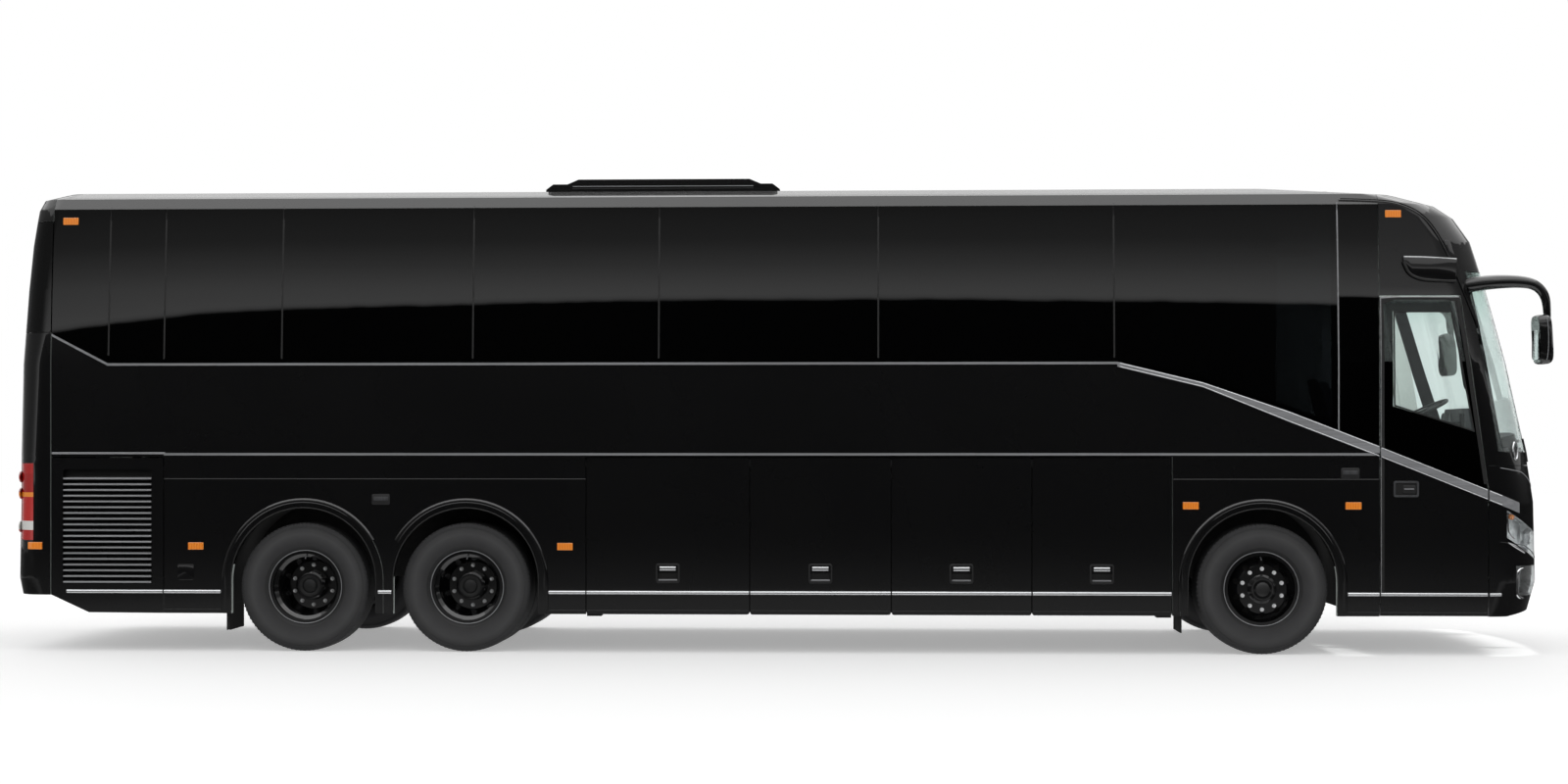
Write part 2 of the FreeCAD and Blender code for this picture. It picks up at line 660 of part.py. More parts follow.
def side_panes(facing):
    """All the bonded panes of one side, as one compound."""
    layer = glass_layer.common(slab([(rear_seam_x, low_z), (far_front_x, low_z), (far_front_x, high_z),
                                     (rear_seam_x, high_z)], 0, facing * (side_y + size.overrun)))
    found = []
    for rear, front in zip(posts, posts[1:]):
        found.append(layer.common(slab(pane(rear, front, size.glass_gap / 2))))
    return Part.makeCompound(found)


def driver_window(inset):
    """The outline of the glass beside the driver, opposite the entry door."""
    a = door_rear_x + inset
    b = door_front_x - inset
    top = size.driver_glass_top - inset
    lean = (door_front_x - door_top_x) / (size.door_top_height - size.door_kink_height)
    return [(a, strip_height(a) + size.strip_width + inset), (b, strip_height(b) + size.strip_width + inset),
            (b - (top - size.door_kink_height) * lean, top), (a, top)]


def window_frame(facing):
    """Posts and rails behind the panes, down into the side wall."""
    end = door_rear_x if facing == RIGHT else door_front_x
    top = size.cant_height
    region = [(rear_seam_x, sill_height(rear_seam_x) - size.rail_band),
              (rear_kink_x, size.belt_height - size.rail_band),
              (strip_rear_x, size.belt_height - size.rail_band)]
    region += strip_line(strip_rear_x, end, 0)[1:]
    if facing == RIGHT:
        region += [(end, top), (rear_seam_x, top)]
    if facing == LEFT:
        region += [(door_top_x, size.door_top_height), (door_rear_x, size.door_top_height),
                               (door_rear_x, top), (rear_seam_x, top)]
    frame = frame_layer.common(slab(region, 0, facing * (side_y + size.overrun)))
    for rear, front in zip(posts, posts[1:]):
        if float(front - rear) > 5 * float(size.post_width):
            frame = frame.cut(slab(pane(rear, front, size.post_width / 2)))
    if facing == LEFT:
        frame = frame.cut(slab(driver_window(size.post_width / 2)))
    return frame


for facing, side in SIDES:
    subpart(f"side_windows_{side}", formed(f"side_windows_{side}", side_panes(facing)))
subpart("driver_window", formed("driver_window", glass_layer.common(
    slab(driver_window(size.glass_gap / 2), 0, side_y + size.overrun))))


# Side walls: flat panels with wheel openings, open at the luggage doors, the service door and the entry.
def arch(x):
    """The edge of a wheel opening, from front to rear when walked along the skirt backwards."""
    radius = size.arch_radius
    centre = size.arch_centre_height
    return [(x + radius, size.skirt_height), (x + radius, centre, radius, 1),
            (x, centre + radius, radius, 1), (x - radius, centre), (x - radius, size.skirt_height)]


def lip(name, x, low, high):
    """The raised band round a wheel opening."""
    inner = size.arch_radius
    outer = size.arch_radius + size.arch_lip
    centre = size.arch_centre_height
    path = [(x + inner, size.skirt_height), (x + outer, size.skirt_height),
            (x + outer, centre, outer, 1), (x, centre + outer, outer, 1), (x - outer, centre),
            (x - outer, size.skirt_height), (x - inner, size.skirt_height),
            (x - inner, centre, inner, -1), (x, centre + inner, inner, -1), (x + inner, centre)]
    return pad(name, "XZ", [path], low, high)


def wall_path(facing):
    """The outline of one side wall, walked backwards along the skirt and forwards along the belt."""
    end = door_rear_x - half_gap if facing == RIGHT else door_front_x
    bay_top = bay_door_top + gap
    skirt = [(end, size.skirt_height)] + arch(front_axle_x)
    skirt += [(bay_end_x + half_gap, size.skirt_height), (bay_end_x + half_gap, bay_top),
              (bay_start_x - half_gap, bay_top), (bay_start_x - half_gap, size.skirt_height)]
    skirt += arch(drive_axle_x) + arch(tag_axle_x)
    skirt += [(service_door_x + half_gap, size.skirt_height)]
    if facing == RIGHT:
        skirt += [(service_door_x + half_gap, bay_top), (rear_seam_x + half_gap, bay_top)]
    else:
        skirt += [(rear_seam_x + half_gap, size.skirt_height + size.rail_band)]
    belt = [(rear_seam_x + half_gap, sill_height(rear_seam_x)), (rear_kink_x, size.belt_height),
            (strip_rear_x, size.belt_height)] + strip_line(strip_rear_x, end, size.strip_width)[1:]
    return skirt + belt


for facing, side in SIDES:
    low, high = (-side_y, size.wall - side_y) if facing == RIGHT else (side_y - size.wall, side_y)
    flat = pad(f"wall_panel_{side}", "XZ", [wall_path(facing)], low, high)
    document.recompute()
    panel = formed(f"wall_skin_{side}", flat.Shape.common(hull))
    lip_low, lip_high = (low - size.arch_lip_depth, low) if facing == RIGHT else (
        high, high + size.arch_lip_depth)
    lips = [lip(f"lip_{side}_{number}", x, lip_low, lip_high)
            for number, x in enumerate((front_axle_x, drive_axle_x, tag_axle_x))]
    frame = formed(f"window_frame_{side}", window_frame(facing))
    wall = join(f"wall_{side}", [panel, frame] + lips)
    glass_space = formed(f"glass_space_{side}", glass_layer.common(
        slab([(rear_seam_x, sill_height(rear_seam_x)), (rear_kink_x, size.belt_height),
              (strip_rear_x, size.belt_height)] + strip_line(strip_rear_x, door_front_x, size.strip_width)[1:]
             + [(door_front_x, high_z), (rear_seam_x, high_z)])))
    subpart(f"side_wall_{side}", cut(f"side_wall_{side}", wall, glass_space))

# Roof: the curved cove on each side and the crown between, from the rear corner to the front dome.
roof = shell.common(span(rear_seam_x, size.cant_height, door_rear_x, high_z))
subpart("roof", formed("roof", roof))

# Front dome: the moulded cap over the windscreen, with the screen surround and the panels over the door.
cowl_z = size.screen_bottom_height - size.cowl_height
dome_region = slab([(door_rear_x + half_gap, size.door_top_height + half_gap),
                    (door_top_x + half_gap, size.door_top_height + half_gap),
                    (door_front_x + half_gap, size.door_kink_height),
                    (door_front_x + half_gap, cowl_z), (far_front_x, cowl_z),
                    (far_front_x, high_z), (door_rear_x + half_gap, high_z)])
screen_low_x = front_x - size.pillar_low_setback
screen_high_x = front_x - size.pillar_high_setback


def screen_outline(inset):
    """The windscreen in side view, drawn in by a margin."""
    return [(screen_low_x + inset, size.screen_bottom_height + inset),
            (far_front_x, size.screen_bottom_height + inset),
            (far_front_x, size.screen_top_height - inset),
            (screen_high_x + inset, size.screen_top_height - inset)]


rebate = size.rail_band / 2
dome = shell.common(dome_region)
dome = dome.cut(screen_layer.common(slab(screen_outline(0))))
dome = dome.cut(slab(screen_outline(rebate)))
subpart("front_dome", formed("front_dome", dome))

# Windscreen: one bowed pane, bonded on the surround's rebate.
subpart("windscreen", formed("windscreen", screen_layer.common(slab(screen_outline(size.lamp_gap)))))

# Front mask: the moulded lower front with its bumper, open at the lamps, and sockets for towing pins.
hull_in_lamp = envelope(size.lamp_depth)
lamp_layer = hull.cut(hull_in_lamp)


def headlamp_region(margin):
    """The space of both headlamps: outlines that fall towards the middle of the coach."""
    rear = front_x - size.headlamp_setback - margin
    fall = size.headlamp_fall + size.overrun * size.headlamp_fall / size.headlamp_setback
    points = [(rear, size.headlamp_bottom_height - margin),
              (far_front_x, size.headlamp_bottom_height - fall - margin),
              (far_front_x, size.headlamp_top_height - fall + margin),
              (rear, size.headlamp_top_height + margin)]
    return both_sides(size.headlamp_inner - margin, side_y + size.overrun, points)


def fog_region(margin):
    """The space of both fog lamps."""
    points = box_path(front_x - size.fog_setback - margin, size.fog_bottom_height - margin,
                      far_front_x, size.fog_top_height + margin)
    return both_sides(size.fog_inner - margin, side_y + size.overrun, points)


mask_region = slab([(door_front_x + half_gap, low_z), (front_x - size.headlamp_setback, low_z),
                    (front_x, low_z + size.front_sweep), (far_front_x, low_z + size.front_sweep),
                    (far_front_x, cowl_z - half_gap), (door_front_x + half_gap, cowl_z - half_gap)])
mask = shell.common(mask_region).cut(headlamp_region(size.seat_gap)).cut(fog_region(size.seat_gap))
tow_x = front_x - size.tow_socket_length
mask_skin = formed("mask_skin", mask)
tow_tube = rod("tow_tube", size.tow_socket_radius, (tow_x, -size.tow_offset, size.tow_height),
               size.tow_socket_length - size.wall / 2, "X")
tow_bore = rod("tow_bore", size.tow_bore_radius, (tow_x, -size.tow_offset, size.tow_height),
               size.tow_socket_length + size.overrun, "X")
subpart("front_mask", cut("front_mask", join("mask_with_socket", [mask_skin, tow_tube]), tow_bore))

# Headlamps and fog lamps: clear units that follow the curve of the mask.
headlamps = lamp_layer.common(headlamp_region(0))
fogs = lamp_layer.common(fog_region(0))
subpart("headlamps", formed("headlamps", Part.makeCompound([headlamps, fogs])))

# Rear panel: the corners, the bumper and the wall round the engine lid and the rear window.
tail_front_x = rear_x + size.tail_length


def tail_region(margin):
    """The space of both tail lamps, on the rear corners."""
    points = box_path(far_rear_x, size.tail_bottom_height - margin,
                      tail_front_x + margin, size.tail_top_height + margin)
    return both_sides(size.tail_inner - margin, side_y + size.overrun, points)


def rear_pane(margin):
    """The space of the rear window, which wraps both corners."""
    return span(far_rear_x, size.rear_glass_bottom_height + margin,
                rear_seam_x - half_gap - margin, size.rear_glass_top_height - margin)


def lid_region(margin):
    """The space of the engine lid."""
    return span(far_rear_x, size.lid_bottom_height - margin, rear_seam_x - size.rear_corner_radius / 2,
                size.lid_top_height + margin, -size.lid_half_width - margin,
                size.lid_half_width + margin)


rear_region = slab([(far_rear_x, low_z + size.rear_sweep), (rear_seam_x - half_gap, low_z + size.rear_sweep),
                    (rear_seam_x - half_gap, high_z), (far_rear_x, high_z)])
rear_sight = span(far_rear_x, size.rear_glass_bottom_height + size.rear_sight_inset,
                  rear_seam_x - size.rear_corner_radius / 2,
                  size.rear_glass_top_height - size.rear_sight_inset,
                  -size.rear_sight_half_width, size.rear_sight_half_width)
rear = shell.common(rear_region)
rear = rear.cut(glass_layer.common(rear_pane(-size.glass_gap / 2))).cut(rear_sight)
rear = rear.cut(lid_region(gap)).cut(tail_region(size.seat_gap))
rear_skin = formed("rear_skin", rear)
hinge_x = rear_x + size.hinge_inset
hinge_z = size.lid_top_height + gap / 2
hinge_outer = hinge_x - size.hinge_pin_radius
hinge_inner = hinge_x + size.hinge_pin_radius
hinge_reach = size.hinge_spread + size.hinge_width * 2
panel_leaves = [rod("hinge_pin", size.hinge_pin_radius, (hinge_x, -hinge_reach, hinge_z), hinge_reach * 2, "Y")]
lid_leaves = []
for facing, side in SIDES:
    near, middle, far = (size.hinge_spread, size.hinge_spread + size.hinge_width, hinge_reach)
    if facing == RIGHT:
        near, middle, far = -far, -middle, -near
    for number, (low, high) in enumerate(((near, middle - size.lamp_gap / 2), (middle + size.lamp_gap / 2, far))):
        leaf_name = f"hinge_leaf_{side}_{number}"
        if (number == 0) == (facing == LEFT):
            panel_leaves.append(block(leaf_name + "_face", (hinge_outer, low, hinge_z),
                                      (hinge_inner, high, hinge_z + size.hinge_root)))
            panel_leaves.append(block(leaf_name + "_root", (hinge_outer, low, hinge_z + gap),
                                      (hinge_x + size.hinge_root, high, hinge_z + size.hinge_root)))
        else:
            lid_leaves.append(rod(leaf_name + "_barrel", size.hinge_barrel_radius, (hinge_x, low, hinge_z),
                                  high - low, "Y"))
            lid_leaves.append(block(leaf_name + "_face", (hinge_outer, low, hinge_z - size.hinge_root),
                                    (hinge_inner, high, hinge_z)))
            lid_leaves.append(block(leaf_name + "_root", (hinge_outer, low, hinge_z - size.hinge_root),
                                    (hinge_x + size.hinge_root, high, hinge_z - gap)))
subpart("rear_panel", join("rear_panel", [rear_skin] + panel_leaves))
subpart("rear_window", formed("rear_window", glass_layer.common(rear_pane(size.glass_gap / 2))))
lid_skin = formed("lid_skin", shell.common(lid_region(0)))
hinge_bore = rod("hinge_bore", size.hinge_pin_radius + size.running_gap,
                 (hinge_x, -hinge_reach - gap, hinge_z), (hinge_reach + gap) * 2, "Y")
subpart("engine_lid", cut("engine_lid", join("lid_blank", [lid_skin] + lid_leaves), hinge_bore))
subpart("tail_lamps", formed("tail_lamps", shell.common(tail_region(0))))

# Entry door: one leaf that swings out on two arms, with a bonded pane above the sloping strip.
def door_outline(inset):
    """The entry door in side view, drawn in by a margin."""
    return [(door_rear_x + inset, low_z + inset), (door_front_x - inset, low_z + inset),
            (door_front_x - inset, size.door_kink_height), (door_top_x - inset, size.door_top_height - inset),
            (door_rear_x + inset, size.door_top_height - inset)]


def above_strip(points, lift):
    """The part of an outline above the sloping strip."""
    a = door_rear_x - size.wall
    b = door_front_x + size.wall
    upper = slab(strip_line(a, b, size.strip_width + lift) + [(b, high_z), (a, high_z)])
    return slab(points).common(upper)


door_side = span(rear_x, low_z, far_front_x, high_z, -side_y - size.overrun, 0)
door_shell = shell.common(slab(door_outline(half_gap))).common(door_side)
door_pane_space = above_strip(door_outline(size.door_pane_margin), 0)
door_sight = [(door_rear_x + size.door_glass_margin, size.door_sight_rear_height),
              (door_front_x - size.door_glass_margin, size.door_sight_front_height),
              (door_top_x - size.door_sight_top_margin, size.door_top_height - size.door_sight_top_setback),
              (door_rear_x + size.door_glass_margin, size.door_top_height - size.door_sight_top_setback)]
leaf = door_shell.cut(glass_layer.common(door_pane_space)).cut(slab(door_sight).common(door_side))
strip_layer = envelope(-size.trim_depth).cut(hull)


def strip_between(rear, front):
    """The sloping strip's outline between two stations. It is slimmer behind its third bend."""
    lower = [(x, z + size.strip_taper) if float(x) < float(strip_full_x) else (x, z)
             for x, z in strip_line(rear, front, 0)]
    return lower + strip_line(rear, front, size.strip_width)[::-1]


door_strip = strip_layer.common(slab(strip_between(door_rear_x + half_gap, door_front_x - half_gap)))
leaf = leaf.fuse(door_strip.common(door_side))
post_x = door_front_x - size.door_post_setback
post_y = size.door_post_inset - side_y
arm_end_x = post_x - size.door_arm_length
leaf_skin = formed("door_leaf_skin", leaf)
brackets = []
for number, height in enumerate((size.door_arm_low_height, size.door_arm_high_height)):
    ear = block(f"door_ear_{number}",
                (arm_end_x - size.door_bracket / 2, size.wall - side_y - size.lamp_gap,
                 height - size.door_arm_radius * 3),
                (arm_end_x + size.door_bracket / 2, post_y + size.door_arm_radius,
                 height - size.door_arm_radius - size.seat_gap))
    brackets.append(ear)
subpart("entry_door", join("entry_door", [leaf_skin] + brackets))
subpart("entry_door_glass", formed("entry_door_glass", glass_layer.common(
    above_strip(door_outline(size.door_pane_margin + size.seat_gap), size.seat_gap)).common(door_side)))
arms = [rod("door_post", size.door_post_radius, (post_x, post_y, size.first_step_height + size.seat_gap),
            size.door_post_top_height - size.first_step_height)]
for number, height in enumerate((size.door_arm_low_height, size.door_arm_high_height)):
    arms.append(rod(f"door_arm_{number}", size.door_arm_radius, (arm_end_x, post_y, height),
                    size.door_arm_length, "X"))
    arms.append(rod(f"door_pin_{number}", size.door_post_radius,
                    (arm_end_x, post_y, height - size.door_arm_radius), size.door_arm_radius * 2))
subpart("entry_door_arms", join("entry_door_arms", arms))

# Luggage doors: flat panels hinged along their top edges, each with a recessed handle.
for facing, side in SIDES:
    low, high = (-side_y, size.wall - side_y) if facing == RIGHT else (side_y - size.wall, side_y)
    for number, (rear_post, front_post) in enumerate(zip(bay_posts, bay_posts[1:]), start=1):
        name = f"luggage_door_{side}_{number}"
        a = rear_post + half_gap
        b = front_post - half_gap
        panel = pad(name + "_panel", "XZ",
                    [soft_path(a, low_z, b, bay_door_top, size.panel_radius)], low, high)
        rib_low, rib_high = (low - size.trim_depth, low) if facing == RIGHT else (high, high + size.trim_depth)
        rib = block(name + "_rib", (a, rib_low, size.skirt_line_height - size.trim_height / 2),
                    (b, rib_high, size.skirt_line_height + size.trim_height / 2))
        middle = (a + b) / 2
        recess_low, recess_high = ((low, low + size.handle_depth) if facing == RIGHT
                                   else (high - size.handle_depth, high))
        recess = pad(name + "_recess", "XZ",
                     [soft_path(middle - size.handle_width / 2, size.handle_bottom_height,
                                middle + size.handle_width / 2,
                                size.handle_bottom_height + size.handle_height, size.panel_radius)],
                     recess_low, recess_high)
        paddle = block(name + "_paddle",
                       (middle - size.handle_width / 2, recess_low + size.trim_depth / 2,
                        size.handle_bottom_height + size.handle_height * 2 / 3),
                       (middle + size.handle_width / 2, recess_high,
                        size.handle_bottom_height + size.handle_height * 5 / 6))
        opened = cut(name + "_opened", join(name + "_ribbed", [panel, rib]), recess)
        subpart(name, join(name, [opened, paddle]))

# Service door: a louvred panel behind the tag axle, hinged along its top edge.
low, high = -side_y, size.wall - side_y
a = rear_seam_x + half_gap
b = service_door_x - half_gap
service_path = [(a, low_z + size.rear_sweep), (a + size.service_door_length / 3, low_z + half_gap),
                (b, low_z), (b, bay_door_top), (a, bay_door_top)]
louvre_low = low_z + size.louvre_margin * 5 / 2
louvre_high = bay_door_top - size.louvre_margin
field = soft_path(a + size.louvre_margin, louvre_low, b - size.louvre_margin, louvre_high, size.panel_radius)
frame = pad("service_frame", "XZ", [service_path, field], low, high)
blades = []
blade_count = int(float(louvre_high - louvre_low) / float(size.louvre_pitch))
for number in range(blade_count):
    foot = louvre_low + size.louvre_pitch * number + size.louvre_metal
    blade = [(low + size.louvre_metal, foot), (low + size.louvre_metal * 2, foot),
             (high - size.louvre_metal, foot + size.louvre_blade),
             (high - size.louvre_metal * 2, foot + size.louvre_blade)]
    blades.append(pad(f"louvre_{number}", "YZ", [blade], a + size.louvre_margin - size.louvre_metal,
                      b - size.louvre_margin + size.louvre_metal))
service_rib = block("service_rib", (a + size.service_door_length / 3, low - size.trim_depth,
                                    size.skirt_line_height - size.trim_height / 2),
                    (b, low, size.skirt_line_height + size.trim_height / 2))
subpart("service_door", join("service_door", [frame, service_rib] + blades))

# Floors: the flat passenger floor, the front bulkhead under it, the driver's floor and the entry steps.
floor_half = side_y - size.wall
floor_front_x = front_x - size.floor_front_setback
floor_under = size.floor_height - size.floor_thickness
platform_front_x = door_front_x - size.wall
floor_rear_x = rear_x + size.floor_rear_setback
deck = block("deck", (floor_rear_x, -floor_half, floor_under),
             (floor_front_x, floor_half, size.floor_height))
shelf = block("rear_shelf", (rear_x + size.shelf_setback, -size.rear_sight_half_width, floor_under),
              (floor_rear_x, size.rear_sight_half_width, size.floor_height))
bulkhead = block("front_bulkhead", (floor_front_x - size.bulkhead, -floor_half, size.first_step_height),
                 (floor_front_x, floor_half, floor_under))
platform = block("platform", (floor_front_x, -size.platform_inner, size.platform_height - size.floor_thickness),
                 (platform_front_x, floor_half, size.platform_height))
step_count = 4
step_rise = (size.platform_height - size.first_step_height) / step_count
outer_y = size.step_setback - side_y
step_run = (-size.platform_inner - outer_y) / step_count
upper = []
under = []
for number in range(step_count):
    tread = size.first_step_height + step_rise * number
    y = outer_y + step_run * number
    upper += [(y, tread), (y + step_run, tread)]
    under.append((y + step_run + size.step_thickness, tread - size.step_thickness))
    if number + 1 < step_count:
        under.append((y + step_run + size.step_thickness, tread + step_rise - size.step_thickness))
stairs_path = [(outer_y, size.first_step_height - size.step_thickness)] + under
stairs_path += [(-size.platform_inner + size.step_thickness, size.platform_height),
                (-size.platform_inner, size.platform_height)] + upper[::-1]
stairs = pad("entry_stairs", "YZ", [stairs_path], door_rear_x + gap, platform_front_x)
aisle_rise = (size.floor_height - size.platform_height) / 3
aisle_steps = []
for number in range(2):
    aisle_steps.append(block(
        f"aisle_step_{number}",
        (floor_front_x, -size.platform_inner, size.platform_height + aisle_rise * number),
        (floor_front_x + size.aisle_step_depth * (2 - number) / 2, size.platform_inner,
         size.platform_height + aisle_rise * (number + 1))))
rail_slots = []
for facing, side in SIDES:
    middle = size.rail_spread * facing
    reach = size.rail_width / 2 + size.seat_gap
    rail_slots.append(block(f"rail_slot_{side}",
                            (floor_front_x - size.bulkhead * 2, middle - reach,
                             size.front_rail_height - size.seat_gap),
                            (floor_front_x + size.bulkhead, middle + reach,
                             size.front_rail_height + size.rail_depth + size.seat_gap)))
floors = join("floors", [deck, shelf, bulkhead, platform, stairs] + aisle_steps)
subpart("cabin_floor", cut("cabin_floor", floors, join("rail_slots", rail_slots)))

# Underframe: rails over the axles, cross members, the luggage floor with its bulkheads, and jacking pads.
rail_top = size.rail_height + size.rail_depth
front_rail_top = size.front_rail_height + size.rail_depth
tail_rail_x = rear_x + size.engine_setback
frame_parts = []
for facing, side in SIDES:
    inner = size.rail_spread - size.rail_width / 2
    outer = size.rail_spread + size.rail_width / 2
    low, high = (-outer, -inner) if facing == RIGHT else (inner, outer)
    frame_parts.append(block(f"rear_rail_{side}", (tail_rail_x, low, size.rail_height),
                             (bay_start_x, high, rail_top)))
    frame_parts.append(block(f"front_rail_{side}", (bay_end_x, low, size.front_rail_height),
                             (front_x - size.headlamp_setback, high, front_rail_top)))
cross_stations = (bay_start_x - size.rail_width * 4, drive_axle_x - size.tandem_spacing / 2,
                  tag_axle_x - size.arch_radius, bay_end_x + size.rail_width * 2,
                  front_axle_x + size.arch_radius / 2)
for number, x in enumerate(cross_stations):
    foot = size.rail_height if number < 3 else size.front_rail_height
    frame_parts.append(block(f"cross_member_{number}",
                             (x, -size.rail_spread, foot + size.rail_depth / 4),
                             (x + size.rail_width, size.rail_spread, floor_under)))
bay_half = side_y - size.wall - gap
bay_floor_under = size.bay_floor_height - size.bay_floor_thickness
frame_parts.append(block("bay_floor", (bay_start_x, -bay_half, bay_floor_under),
                         (bay_end_x, bay_half, size.bay_floor_height)))
for number, x in enumerate((bay_posts[0], bay_posts[2] - size.bulkhead / 2, bay_posts[4] - size.bulkhead)):
    frame_parts.append(block(f"bay_bulkhead_{number}", (x, -bay_half, bay_floor_under),
                             (x + size.bulkhead, bay_half, floor_under)))
for number, x in enumerate((bay_posts[1], bay_posts[3])):
    for facing, side in SIDES:
        low, high = (-bay_half, size.rail_width - bay_half) if facing == RIGHT else (
            bay_half - size.rail_width, bay_half)
        frame_parts.append(block(f"bay_post_{side}_{number}",
                                 (x - size.bulkhead, low, bay_floor_under),
                                 (x + size.bulkhead, high, floor_under)))
for facing, side in SIDES:
    for number, x in enumerate((bay_start_x, bay_end_x - size.jack_pad)):
        low, high = (-bay_half, size.jack_pad - bay_half) if facing == RIGHT else (
            bay_half - size.jack_pad, bay_half)
        frame_parts.append(block(f"jack_pad_{side}_{number}", (x, low, size.jack_pad_height),
                                 (x + size.jack_pad, high, size.bay_floor_height)))
subpart("underframe", join("underframe", frame_parts))

# Wheel housings: an arched sheet with an inner wall over each wheel, and a rubber flap behind it.
housing_outer_y = side_y - size.wall
housing_inner_y = housing_outer_y - size.housing_depth
inner_radius = size.arch_radius + size.housing_gap
outer_radius = inner_radius + size.housing_metal
arch_z = size.arch_centre_height
foot_z = arch_z - size.arch_radius / 3


def hood(front, rear, radius, turn):
    """The top of a housing from its front foot to its rear one, or back: arcs over one wheel or two."""
    walk = [(front + radius, arch_z, radius, turn), (front, arch_z + radius, radius, turn)]
    if front is not rear:
        walk[1:] = [(front, arch_z + radius), (rear, arch_z + radius, radius, turn)]
    walk.append((rear - radius, arch_z))
    if turn > 0:
        return walk
    back = [(rear - radius, arch_z, radius, turn), (rear, arch_z + radius, radius, turn)]
    if front is not rear:
        back[1:] = [(rear, arch_z + radius), (front, arch_z + radius, radius, turn)]
    return back + [(front + radius, arch_z)]


def notches(axles):
    """The foot of a housing's inner wall, cut out over each axle, walked forwards."""
    walk = []
    for x in axles:
        walk += [(x - size.axle_notch, arch_z), (x - size.axle_notch, arch_z + size.axle_notch),
                 (x + size.axle_notch, arch_z + size.axle_notch), (x + size.axle_notch, arch_z)]
    return walk


housings = []
for end_name, front, rear, axles in (("front", front_axle_x, front_axle_x, (front_axle_x,)),
                                     ("rear", drive_axle_x, tag_axle_x, (tag_axle_x, drive_axle_x))):
    for facing, side in SIDES:
        low, high = (-housing_outer_y, -housing_inner_y) if facing == RIGHT else (
            housing_inner_y, housing_outer_y)
        sheet_path = [(front + inner_radius, foot_z), (front + outer_radius, foot_z)]
        sheet_path += hood(front, rear, outer_radius, 1)
        sheet_path += [(rear - outer_radius, foot_z), (rear - inner_radius, foot_z)]
        sheet_path += hood(front, rear, inner_radius, -1)
        arched = pad(f"housing_sheet_{end_name}_{side}", "XZ", [sheet_path], low, high)
        wall_low, wall_high = (high - size.housing_metal, high) if facing == RIGHT else (
            low, low + size.housing_metal)
        inner_wall = pad(f"housing_wall_{end_name}_{side}", "XZ",
                         [hood(front, rear, outer_radius, 1) + notches(axles)], wall_low, wall_high)
        flap_x = rear - outer_radius
        flap_low, flap_high = (low + size.rail_band, low + size.housing_depth * 2 / 3) if facing == RIGHT else (
            high - size.housing_depth * 2 / 3, high - size.rail_band)
        flap = block(f"flap_{end_name}_{side}", (flap_x - size.flap_thickness, flap_low, size.flap_clearance),
                     (flap_x, flap_high, foot_z + size.rail_band))
        housings.append(join(f"housing_{end_name}_{side}", [arched, inner_wall, flap]))
subpart("wheel_housings", group("wheel_housings", housings))

# Wheels: drop-centre steel rims with bolted discs, and radial tyres. Built for the left side.
bead_half = size.rim_width / 2
metal = size.rim_metal
tread_half = size.tyre_width / 2
shoulder = size.tyre_width / 10


def tyre_path(middle):
    """Section of a tyre: a flat tread, rounded shoulders and bulged side walls."""
    bulge = (size.tyre_radius + size.bead_radius) / 2
    half = bead_half - metal - size.seat_gap
    bead = size.bead_radius + size.seat_gap
    flange = size.rim_flange_radius + metal
    return [(middle - half, bead), (middle + half, bead), (middle + half, flange),
            (middle + tread_half, bulge), (middle + tread_half - metal, size.tyre_radius - shoulder),
            (middle + tread_half - shoulder * 3 / 2, size.tyre_radius),
            (middle - tread_half + shoulder * 3 / 2, size.tyre_radius),
            (middle - tread_half + metal, size.tyre_radius - shoulder), (middle - tread_half, bulge),
            (middle - half, flange)]


def barrel_path(middle):
    """Section of a rim without its disc: flanges, bead seats and the drop centre."""
    seat = bead_half - metal * 4
    slope = bead_half - metal * 6
    bead = size.bead_radius
    well = size.rim_well_radius
    flange = size.rim_flange_radius
    return [(middle - bead_half, bead - metal), (middle - seat, bead - metal),
            (middle - slope, well - metal), (middle + slope, well - metal),
            (middle + seat, bead - metal), (middle + bead_half, bead - metal),
            (middle + bead_half, flange), (middle + bead_half - metal, flange),
            (middle + bead_half - metal, bead), (middle + seat, bead), (middle + slope, well),
            (middle - slope, well), (middle - seat, bead), (middle - bead_half + metal, bead),
            (middle - bead_half + metal, flange), (middle - bead_half, flange)]


bolt_radius = size.stud_circle_radius + metal * 3
bore_radius = size.spindle_radius + size.running_gap
disc_root = size.rim_well_radius - metal / 2
twin_y = wheel_y - size.twin_spacing / 2
inner_wheel_y = wheel_y - size.twin_spacing
front_disc_y = wheel_y + size.disc_offset
spindle_end_y = front_disc_y - metal * 4
cap_y = front_disc_y + size.hub_cap_length
front_hub_path = [(wheel_y + bead_half / 2 - metal, disc_root), (wheel_y + bead_half / 2, disc_root + metal / 4),
                  (front_disc_y, bolt_radius), (front_disc_y, size.hub_radius * 5 / 4),
                  (cap_y, size.hub_radius), (cap_y + metal, 0), (spindle_end_y + metal, 0),
                  (spindle_end_y + metal, bore_radius), (wheel_y + metal * 2, bore_radius),
                  (wheel_y + metal * 2, size.hub_radius * 6 / 5),
                  (front_disc_y - metal * 3, size.hub_radius * 6 / 5),
                  (front_disc_y - metal * 2, bolt_radius - metal)]
drive_hub_y = twin_y + size.drive_hub_length
drive_spindle_y = drive_hub_y - metal * 4
drum_low_y = twin_y - metal - size.brake_width
dish_path = [(wheel_y - bead_half / 2, disc_root + metal / 4), (wheel_y - bead_half / 2 + metal, disc_root),
             (twin_y + metal * 2, bolt_radius), (twin_y + metal * 2, size.hub_radius * 4 / 3),
             (drive_hub_y - metal, size.hub_radius * 5 / 4), (drive_hub_y, size.hub_radius),
             (drive_hub_y, 0), (drive_spindle_y + metal, 0), (drive_spindle_y + metal, bore_radius),
             (drum_low_y, bore_radius), (drum_low_y, size.brake_radius),
             (twin_y - metal, size.brake_radius), (twin_y - metal, bolt_radius), (twin_y, bolt_radius)]
